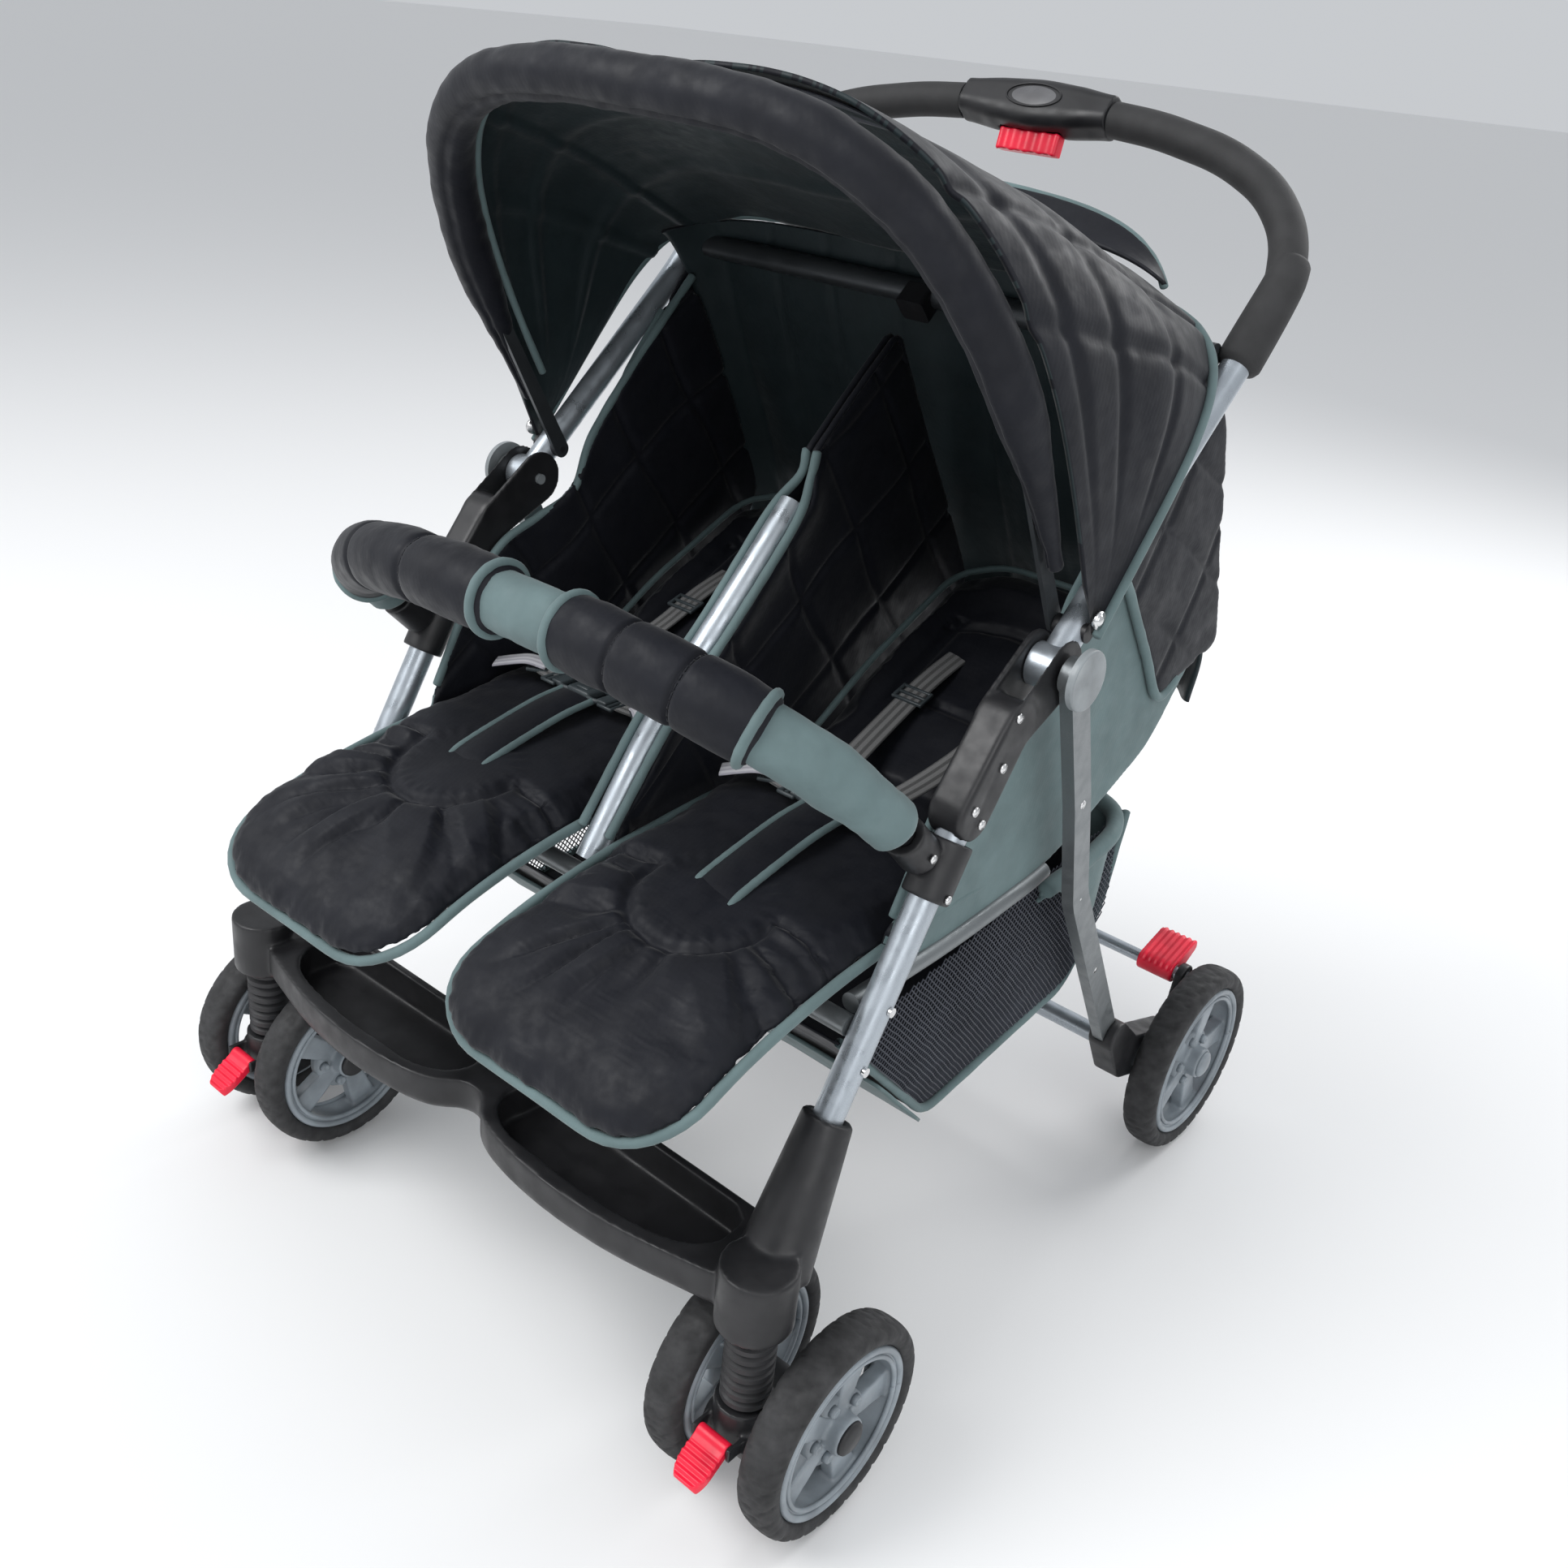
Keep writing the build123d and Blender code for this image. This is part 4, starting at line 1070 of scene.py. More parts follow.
# ---- handle ------------------------------------------------------------------------------------
class PUSHCHAIR_OT_handle(bpy.types.Operator):
    """Shape the fold control in the middle of the handle and its trigger"""
    bl_idname = "pushchair.handle"
    bl_label = "Fold control"

    def execute(self, context):
        top = hoop_point(math.pi / 2, **HANDLE)
        lean = math.radians(HANDLE["tilt"])
        up = Vector((0, math.cos(lean), math.sin(lean)))
        face = Vector((0, -math.sin(lean), math.cos(lean)))
        hub = copy_node("handle_hub", "fold_control_casing", "black moulding")
        remesh(hub, 0.0014, 5)
        for vertex in hub.data.vertices:
            step = vertex.co - top
            taper = smoothly(abs(step.x), 0.040, 0.080)
            grown = 1 + 0.16 * (1 - smoothly(abs(step.x), 0.0, 0.055))
            vertex.co = (top + Vector((step.x, 0, 0)) + up * step.dot(up) * (grown - 0.20 * taper)
                         + face * step.dot(face) * (1 - 0.05 * taper))
        settle(hub, "handle", "black_plastic", "handle_hub")
        rim_line = [top + face * 0.0186 + Vector((0.029, 0, 0)) * math.cos(a) + up * 0.0125 * math.sin(a)
                    for a in np.linspace(0, 2 * math.pi, 49)]
        ring = pipe("control_plate_rim", rim_line, 0.0008, "black moulding", 8)
        vertices = [top + face * (0.0176 + 0.0012 * (1 - r * r)) + Vector((0.029, 0, 0)) * r * math.cos(a)
                    + up * 0.0125 * r * math.sin(a)
                    for r in (1.0, 0.8, 0.5, 0.2) for a in np.linspace(0, 2 * math.pi, 48, endpoint=False)]
        under = [v - face * 0.003 for v in vertices[:48]]
        faces = [(i * 48 + k, i * 48 + (k + 1) % 48, (i + 1) * 48 + (k + 1) % 48, (i + 1) * 48 + k)
                 for i in range(3) for k in range(48)]
        faces += [tuple(range(144, 192)), tuple(range(192, 240))]
        faces += [(k, (k + 1) % 48, 192 + (k + 1) % 48, 192 + k) for k in range(48)]
        plate = new_object("control_plate", vertices + under, faces, "blank label")
        settle(join("control_plate", [plate, ring]), "handle", "black_plastic")
        trigger = copy_node("fold_trigger", "squeeze_trigger", "red moulding")
        remesh(trigger, 0.0009, 6)
        displace(trigger, lambda p, n: 0.0010 * math.cos(p.x * 2 * math.pi / 0.0155) * (n.y < -0.3))
        settle(trigger, "trigger", "red_plastic", "fold_trigger")
        return {"FINISHED"}


# ---- bumper ------------------------------------------------------------------------------------
BLACK_SLEEVES = (("left", 92, 152), ("middle", 48, 83))


class PUSHCHAIR_OT_bumper(bpy.types.Operator):
    """Sew the bumper bar's trim cover and its two padded sleeves"""
    bl_idname = "pushchair.bumper"
    bl_label = "Bumper bar"

    def execute(self, context):
        line = hoop_line(BUMPER, 12, 168, 220)
        def cover_size(t):
            end = min(t, 1 - t)
            wrinkle = 0.0007 * math.sin(t * 190) * ripple((t * 14, 0, 0), 1.0)
            return 0.0215 + 0.0030 * smoothly(end, 0.02, 0.1) + wrinkle
        cover = pipe("bumper_cover", line, cover_size, "trim cloth", 36)
        displace(cover, lambda p, n: 0.0014 * ripple((p.x * 0.6, p.y, p.z), 42) + 0.0008 * ripple(p, 95, 4))
        settle(cover, "bumper", "black_fabric", "bumper_bar")
        stubs = []
        for name, side in SIDES:
            root = hoop_point(math.radians(0.1), **BUMPER)
            lean = math.radians(BUMPER["tilt"])
            out = Vector((0, math.cos(lean), math.sin(lean)))
            start = Vector((side * (root.x - 0.002), root.y, root.z)) + out * 0.022
            end = hoop_point(math.radians(13.5), **BUMPER)
            route = spline([start, start + out * 0.012, (side * end.x, end.y, end.z)], 12)
            stubs.append(pipe(f"stub_{name}", route,
                              lambda t: 0.009 + 0.0085 * smoothly(t, 0.45, 0.75), "black moulding", 24))
        settle(join("bumper_plugs", stubs), "bumper", "black_plastic")
        for name, first, last in BLACK_SLEEVES:
            part = hoop_line(BUMPER, first, last, 150)
            seams = (0.34, 0.67)

            def sleeve_size(t):
                groove = max(seam(t - s, 0.012) for s in seams)
                puff = 0.0012 * math.sin(math.pi * ((t * 3) % 1))
                return 0.0292 + puff - 0.0030 * groove

            sleeve = pipe(f"bumper_sleeve_{name}", part, sleeve_size, "black cloth", 48)
            displace(sleeve, lambda p, n: 0.0009 * ripple(p, 30, 2) + 0.0004 * ripple(p, 90, 5))
            settle(sleeve, "bumper", "black_fabric")
            rings, stitches, edges = [], [], []
            for share in (0.0, 1.0):
                here, ahead, side_way, top = frames(part)[0 if share == 0 else -1]
                loop = [here + (side_way * math.cos(a) + top * math.sin(a)) * 0.0287
                        for a in np.linspace(0, 2 * math.pi, 49)]
                rings.append(piping(f"ring_{name}_{share}", loop, 0.0040))
            for share in seams:
                here, ahead, side_way, top = frames(part)[int(share * 149)]
                base = len(stitches)
                stitches += [here + (side_way * math.cos(a) + top * math.sin(a)) * 0.0271
                             for a in np.linspace(0, 2 * math.pi, 40, endpoint=False)]
                edges += [(base + i, base + (i + 1) % 40) for i in range(40)]
            settle(join(f"sleeve_binding_{name}", rings), "bumper", "black_fabric")
            thread = grow(f"sleeve_stitches_{name}", stitches, edges, thread_tree(), "black cloth",
                          Pitch=0.0075, Thread=0.0008)
            settle(thread, "bumper", "black_fabric")
        return {"FINISHED"}


# ---- seats ---------------------------------------------------------------------------------------
SEAT_PROFILE = [(-0.040, 0.447), (-0.119, 0.446), (-0.200, 0.439), (-0.262, 0.431), (-0.330, 0.416),
                (-0.385, 0.397), (-0.424, 0.375), (-0.444, 0.357)]
LOBE_AT, LOBE_WIDE, LOBE_LONG = 0.222, 0.062, 0.060


def seat_form(side):
    return PadForm(side * 0.152, 0.129, SEAT_PROFILE, 0.066, 0.020)


def back_form(side):
    run = Vector((math.cos(BACK_TILT), math.sin(BACK_TILT)))
    drop = Vector((math.sin(BACK_TILT), -math.cos(BACK_TILT)))
    start = Vector((CREASE.y, CREASE.z)) + drop * 0.018
    profile = [tuple(start + run * d) for d in (0.002, 0.10, 0.20, BACK_LONG + 0.004)]
    return PadForm(side * 0.147, 0.121, profile, 0.060, 0.012)


class PUSHCHAIR_OT_seats(bpy.types.Operator):
    """Make the two seat pads: swollen, with a sewn lobe, gathers and bound edges"""
    bl_idname = "pushchair.seats"
    bl_label = "Seat pads"

    def execute(self, context):
        for name, side in SIDES:
            form = seat_form(side)
            pad = form.solid(f"seat_cushion_{name}", 0.017, 0.012, 0.050, "black cloth")

            def sewn(point, normal):
                w, s, n = form.locate(point)
                around = math.hypot(w / LOBE_WIDE, (s - LOBE_AT) / LOBE_LONG)
                turn = math.atan2(s - LOBE_AT, w)
                far = math.hypot(w, s - LOBE_AT)
                edge = form.inside(w, s)
                puckers = 0.0022 * ripple((w, s, side), 58) + 0.0012 * ripple((w, s, side), 130)
                puckers *= seam(edge, 0.030)
                soft = 0.0030 * ripple((w, s, side), 14) + 0.0012 * ripple((w, s, side), 34, 7)
                if normal.z < 0.1 and n < 0:
                    return soft + puckers
                lobe = seam((around - 1) * LOBE_LONG, 0.0050) * smoothly(s, LOBE_AT - 0.02, LOBE_AT)
                branch = seam(s - LOBE_AT + 0.012 - 0.10 * abs(abs(w) - LOBE_WIDE), 0.0050)
                branch *= abs(w) > LOBE_WIDE
                reach = smoothly(far, 0.055, 0.082) * (1 - smoothly(far, 0.10, 0.19)) * (s > LOBE_AT - 0.01)
                around_lobe = (math.cos(turn) * 2.6, math.sin(turn) * 2.6, far * 5)
                gather = abs(ripple(around_lobe, 1.35, side * 3 + 11))
                inner = 0.0005 * math.sin(turn * 26) * seam((around - 0.86) * LOBE_LONG, 0.008)
                return (soft + puckers + inner - 0.0062 * max(lobe, branch)
                        - 0.0090 * reach * max(0.0, 0.30 - gather) / 0.30 + 0.0035 * reach)

            displace(pad, sewn)
            settle(pad, "frame", "black_fabric", f"seat_pad_{name}")
            ring = form.outline(-0.0015)
            bound = [form.place(w, s, -0.001) for w, s in ring if s > -0.003][1:-1]
            settle(piping(f"seat_binding_{name}", bound, 0.0046), "frame", "black_fabric")
        return {"FINISHED"}


class PUSHCHAIR_OT_backrests(bpy.types.Operator):
    """Make the two reclining back cushions with raised sides and a head roll"""
    bl_idname = "pushchair.backrests"
    bl_label = "Back cushions"

    def execute(self, context):
        for name, side in SIDES:
            form = back_form(side)

            def lift(w, s):
                bolster = smoothly(abs(w), 0.075, 0.112) * 0.016 * smoothly(s, 0.02, 0.16)
                head = smoothly(s, form.long - 0.085, form.long - 0.02) * 0.014
                return max(bolster, head) + 0.004 * smoothly(s, 0.1, 0.3)

            cushion = form.solid(f"back_cushion_{name}", 0.019, 0.017, 0.040, "black cloth", lift)

            def sewn(point, normal):
                w, s, n = form.locate(point)
                soft = 0.0030 * ripple((w, s, side), 15, 3) + 0.0016 * ripple((w, s * 0.5, side), 40, 8)
                if n < 0:
                    return soft
                channel = seam(abs(w) - 0.072, 0.006) * (s < form.long - 0.09)
                yoke = seam(s - form.long + 0.088 + w * w * 3, 0.006) * (abs(w) < 0.080)
                cross = 0.7 * seam(s - 0.120, 0.005) * (abs(w) < 0.072)
                return soft - 0.0060 * max(channel, yoke, cross)

            displace(cushion, sewn)
            settle(cushion, f"backrest_{name}", "black_fabric", f"backrest_{name}")
            bound = [form.place(w, s, 0.008 + lift(w, s)) for w, s in form.outline(0.0) if s > 0.004]
            settle(piping(f"back_binding_{name}", bound[1:-1]), f"backrest_{name}", "black_fabric")
        return {"FINISHED"}


# ---- harness -------------------------------------------------------------------------------------
def buckle(name, centre):
    """A side-release buckle: a slotted body, two sprung prongs and the strap bars."""
    parts = [rounded_block("body", (0.030, 0.027, 0.0095), centre, 0.0035, "buckle moulding"),
             rounded_block("ridge", (0.018, 0.016, 0.0115), centre, 0.003, "buckle moulding")]
    for side in (-1, 1):
        def at(x, y, z=0.0):
            return centre + Vector((side * x, y, z))
        parts.append(pipe("prong", spline([at(0.010, 0.0105), at(0.022, 0.0118), at(0.030, 0.0075)], 10),
                          0.0026, "buckle moulding", 10))
        parts.append(pipe("prong", spline([at(0.010, -0.0105), at(0.022, -0.0118), at(0.030, -0.0075)], 10),
                          0.0026, "buckle moulding", 10))
        parts.append(rounded_block("tail", (0.014, 0.024, 0.0060), at(0.031, 0), 0.0022, "buckle moulding"))
        for bar in (0.0415, 0.0475):
            parts.append(pipe("bar", [at(bar, y) for y in (-0.015, 0, 0.015)], 0.0020,
                              "buckle moulding", 10))
        for edge in (-0.0145, 0.0145):
            parts.append(pipe("rail", [at(0.031, edge), at(0.040, edge), at(0.0475, edge)], 0.0020,
                              "buckle moulding", 10))
    return join(name, parts)


def slider(name, centre, ahead, across, up):
    """A three-bar strap adjuster lying across a strap."""
    parts = []
    for step in (-0.009, 0, 0.009):
        parts.append(rounded_block("bar", (0.033, 0.0032, 0.0036), centre + ahead * step, 0.0012,
                                   "buckle moulding", (across, ahead, up)))
    for step in (-0.0155, 0.0155):
        parts.append(rounded_block("rail", (0.0036, 0.0215, 0.0036), centre + across * step, 0.0012,
                                   "buckle moulding", (across, ahead, up)))
    return join(name, parts)


class PUSHCHAIR_OT_harness(bpy.types.Operator):
    """Lay the harness: crotch, waist and shoulder straps, buckles and adjusters"""
    bl_idname = "pushchair.harness"
    bl_label = "Harness"

    def execute(self, context):
        size = sizes()
        up = Vector((0, 0, 1))
        run = Vector((0, math.cos(BACK_TILT), math.sin(BACK_TILT)))
        rise = Vector((0, -math.sin(BACK_TILT), math.cos(BACK_TILT)))
        for name, side in SIDES:
            middle = side * 0.152
            centre = Vector((middle, -0.112, 0.484))
            settle(buckle(f"harness_buckle_{name}", centre), "frame", "buckle_plastic",
                   *(["harness_buckles"] if side > 0 else []))
            route = [(middle, -0.124, 0.482), (middle, -0.160, 0.478), (middle, -0.205, 0.468),
                     (middle, -0.246, 0.457), (middle, -0.262, 0.449)]
            crotch = strap(f"crotch_strap_{name}", route, [up] * 5, 0.042, 0.0055, "black cloth")
            settle(crotch, "frame", "black_fabric")
            rims = [spline([(x + k * 0.0205, y, z + 0.001) for x, y, z in route], 40) for k in (-1, 1)]
            edges = [piping("edge", rim, 0.0034) for rim in rims]
            settle(join(f"crotch_binding_{name}", edges), "frame", "black_fabric")
            webs, sliders, tabs = [], [], []
            for way in (-1, 1):
                waist = [(middle + way * 0.045, -0.112, 0.484), (middle + way * 0.066, -0.104, 0.481),
                         (middle + way * 0.086, -0.088, 0.476), (middle + way * 0.100, -0.060, 0.470),
                         (middle + way * 0.106, -0.036, 0.462)]
                webs.append(strap("web", waist, [up] * 5, size.web_width, size.web_thick, "webbing", 40))
                start = Vector(waist[1])
                ahead = Vector((way * 0.80, -0.56, 0.05)).normalized()
                across = up.cross(ahead).normalized()
                sliders.append(slider("slider", start + Vector((way * 0.010, 0, 0.002)), ahead, across, up))
                tail = [start + ahead * d + Vector((0, 0, z)) for d, z in
                        ((0.000, 0.005), (0.018, 0.008), (0.036, 0.004), (0.052, -0.001))]
                tabs.append(strap("tab", tail, [up, up + ahead * 0.1, up + ahead * 0.3, up], size.web_width,
                                  size.web_thick * 1.2, "strap tab", 24))
            for at, foot in ((-0.046, -0.016), (0.046, 0.016)):
                top = Vector((middle * 0.968 + at, CREASE.y, CREASE.z)) + run * 0.205 + rise * 0.006
                knee = Vector((middle * 0.97 + at * 0.96, CREASE.y, CREASE.z)) + run * 0.075 + rise * 0.020
                low = Vector((middle + foot * 2.0, -0.062, 0.489))
                end = Vector((middle + foot, -0.098, 0.486))
                line = [top, top + (knee - top) * 0.5 + rise * 0.004, knee, low, end]
                normals = [rise, rise, rise * 0.7 + up * 0.3, up, up]
                web = strap(f"shoulder_strap_{name}_{'a' if at < 0 else 'b'}", line, normals, size.web_width,
                            size.web_thick, "webbing", 70)
                middle_way = knee + (top - knee) * 0.30 + rise * 0.0035
                ahead = (top - knee).normalized()
                clip = slider("clip", middle_way, ahead, Vector((1, 0, 0)), ahead.cross(Vector((-1, 0, 0))))
                part = join(f"shoulder_strap_{name}_{'inner' if at * side < 0 else 'outer'}", [web, clip])
                bridge(part, "frame", f"backrest_{name}", (0, -0.075, 0.478), (0, 0.020, 0.505),
                       "buckle_plastic")
            settle(join(f"waist_straps_{name}", webs), "frame", "buckle_plastic")
            settle(join(f"strap_sliders_{name}", sliders), "frame", "buckle_plastic")
            settle(join(f"strap_tabs_{name}", tabs), "frame", "buckle_plastic")
        return {"FINISHED"}


# ---- side cloth, divider and rear curtain ------------------------------------------------------
SIDE_OUTLINES_MM = {
    "wing": [(-190, 466), (-150, 548), (-112, 594), (-66, 614), (-20, 634), (2, 686), (60, 757), (132, 834),
             (266, 592), (196, 500), (60, 437), (-60, 408), (-205, 414)],
    "divider": [(-238, 432), (-168, 528), (-96, 602), (-4, 706), (4, 735), (105, 832), (262, 598), (282, 556),
                (150, 462), (0, 424)],
    "return": [(49, 721), (182, 556), (286, 584), (206, 796), (152, 872), (96, 796)],
}
HANDLE_BLEND = ((0, -0.040, 0.560), (0, 0.120, 0.800))


def outline_of(name, cut=0.030):
    return soften_outline([(y * MM, z * MM) for y, z in SIDE_OUTLINES_MM[name]], cut)


def quilted(point, spacing=(0.088, 0.098), lean=0.62, wide=0.0045):
    """Seam depth share of a slanted quilting grid in the side planes."""
    a = (point.y * math.cos(lean) + point.z * math.sin(lean) + 0.012 * ripple(point, 9)) / spacing[0]
    b = (point.z * math.cos(lean) - point.y * math.sin(lean) + 0.012 * ripple(point, 8, 4)) / spacing[1]
    return max(seam(abs(a - round(a)) * spacing[0], wide), seam(abs(b - round(b)) * spacing[1], wide))


def distance_to_run(point, start, end):
    """Distance from a point to the straight run between start and end."""
    run = end - start
    share = min(1, max(0, (point - start).dot(run) / run.length_squared))
    return (point - start - run * share).length


class PUSHCHAIR_OT_sides(bpy.types.Operator):
    """Make the quilted side wings, the two-layer divider and the back curtain"""
    bl_idname = "pushchair.sides"
    bl_label = "Side cloth"

    def execute(self, context):
        for name, side in SIDES:
            self.wing(name, side)
            self.back_return(name, side)
        self.divider()
        self.curtain()
        return {"FINISHED"}

    def wing(self, name, side):
        outline = outline_of("wing")
        wing = outline_panel(f"seat_wing_{name}", outline, side * 0.2770, side * 0.2835, 0.0028,
                             "black cloth")

        def sewn(point, normal):
            inwards = normal.x * side < 0
            loose = 0.0022 * ripple((point.y, point.z, side), 20, 5)
            return (0.0016 - 0.0040 * quilted(point) + loose) if inwards else 0.3 * loose

        displace(wing, sewn)
        second_finish(wing, "trim cloth", lambda c, n: n.x * side > 0.3)
        bridge(wing, "frame", "handle", *HANDLE_BLEND, "black_fabric", f"side_wing_{name}")
        front = [Vector((side * 0.280, y * MM, z * MM)) for y, z in SIDE_OUTLINES_MM["wing"][:8]]
        edge = piping(f"wing_binding_{name}", spline(front, 90), 0.0042)
        bridge(edge, "frame", "handle", *HANDLE_BLEND, "black_fabric")

    def back_return(self, name, side):
        panel = outline_panel(f"back_return_{name}", outline_of("return", 0.015), side * 0.2850,
                              side * 0.2905, 0.0028, "black cloth")
        displace(panel, lambda p, n: 0.0016 * ripple((p.y, p.z, side), 22)
                 - 0.0024 * quilted(p, (0.07, 0.11), 1.1))
        bridge(panel, "frame", "handle", *HANDLE_BLEND, "black_fabric")
        line = [Vector((side * 0.2885, y * MM, z * MM)) for y, z in
                ((100, 800), (49, 724), (84, 676), (140, 606), (180, 556), (212, 566))]
        edge = piping(f"return_binding_{name}", spline(line, 60), 0.0045)
        bridge(edge, "frame", "handle", *HANDLE_BLEND, "black_fabric")

    def divider(self):
        tube = [Vector((0, y * MM, z * MM)) for y, z in ((-262, 390), (-174, 524), (-102, 598), (-16, 693))]
        halves, edges = [], []
        for name, side in SIDES:
            half = outline_panel(f"divider_{name}", outline_of("divider", 0.02), side * 0.0010, side * 0.0065,
                                 0.0026, "black cloth")
            for vertex in half.data.vertices:
                here = Vector((0, vertex.co.y, vertex.co.z))
                gap = min(distance_to_run(here, a, b) for a, b in zip(tube, tube[1:]))
                vertex.co.x += side * 0.0125 * seam(gap, 0.028)
            displace(half, lambda p, n: (0.0012 - 0.0034 * quilted(p)) * (n.x * side > 0)
                     + 0.0015 * ripple((p.y, p.z, side), 21))
            halves.append(half)
            front = [Vector((side * (0.0165 if z < 700 else 0.006), y * MM, z * MM))
                     for y, z in ((-240, 440), (-172, 531), (-100, 604), (-30, 682), (-2, 716), (3, 738))]
            edges.append(piping(f"edge_{name}", spline(front, 70), 0.0042))
            over = [Vector((side * 0.004, y * MM, z * MM)) for y, z in
                    ((3, 738), (44, 778), (86, 816), (105, 829), (122, 806), (190, 700), (252, 600))]
            edges.append(piping(f"edge_{name}", spline(over, 70), 0.0030, "black cloth"))
        cloth = join("seat_divider", halves)
        bridge(cloth, "frame", "handle", *HANDLE_BLEND, "black_fabric", "centre_divider")
        bridge(join("divider_binding", edges), "frame", "handle", *HANDLE_BLEND, "black_fabric")

    def curtain(self):
        drop = spline([(0, 0.150, 0.875), (0, 0.158, 0.852), (0, 0.178, 0.802), (0, 0.226, 0.700),
                       (0, 0.274, 0.606), (0, 0.290, 0.570), (0, 0.284, 0.530)], 60)
        hem = [hood_point(turn, 0.004) for turn in np.linspace(12, 168, 157)]

        def hung(u, v):
            here = drop[round(v * 59)]
            x = -0.287 * (2 * u - 1)
            top = min(hem, key=lambda p: abs(p.x - x))
            here = here.lerp(Vector((0, top.y - 0.004, top.z - 0.005)), 1 - smoothly(v, 0.0, 0.16))
            fold = 0.006 * math.sin(u * 34 + 2 * ripple((u * 3, v * 2, 0), 1)) * smoothly(v, 0.05, 0.6)
            seam_dip = sum(seam(x - s, 0.004) for s in (-0.19, -0.12, -0.04, 0.05, 0.12, 0.19)) * 0.0022
            pull = 0.010 * ripple((u * 5, v * 3, 4), 1) * v
            wrap = -0.030 * smoothly(abs(x), 0.255, 0.287)
            return Vector((x, here.y + (fold + pull) * (1 - smoothly(v, 0.8, 1.0)) + seam_dip + wrap, here.z))

        cloth = cloth_panel("back_curtain", hung, 150, 59, 0.003, "lining cloth", "black cloth")
        bridge(cloth, "frame", "handle", (0, 0.255, 0.620), (0, 0.160, 0.850), "lining_fabric",
               "rear_curtain")


# ---- hood ----------------------------------------------------------------------------------------
HOOD_FRONT = dict(half=0.320, depth=0.420, power=3.37, base=BOW_HINGE, tilt=116.5)
HOOD_BACK = dict(half=0.324, depth=0.290, power=6.0, base=BOW_HINGE, tilt=52.0)
HOOD_SEAMS_ACROSS = (28, 50, 90, 130, 152)
HOOD_SEAMS_ALONG = (0.30, 0.62, 0.86)
HOOD_BLEND = ((0, 0.150, 0.900), (0, -0.200, 1.020))


def hood_point(turn, share, out=0.0):
    """A place on the hood: turn in degrees round its U, share 0 at the handle to 1 at the roll."""
    angle = math.radians(turn)
    back, front = hoop_point(angle, **HOOD_BACK), hoop_point(angle, **HOOD_FRONT)
    here = back.lerp(front, share)
    outwards = (here - BOW_HINGE - Vector((0, 0, -0.05)))
    outwards = Vector((outwards.x, outwards.y * 0.6, outwards.z)).normalized()
    taut = 0.012 * 4 * share * (1 - share) * smoothly(math.sin(angle), 0.05, 0.5)
    return here + outwards * (out + taut)


def turn_of(share_round):
    """Evens out the hood's sides and top: share 0 to 1 round the U gives degrees."""
    t = 2 * share_round - 1
    return 90 * (1 + t * (0.55 + 0.45 * t * t))


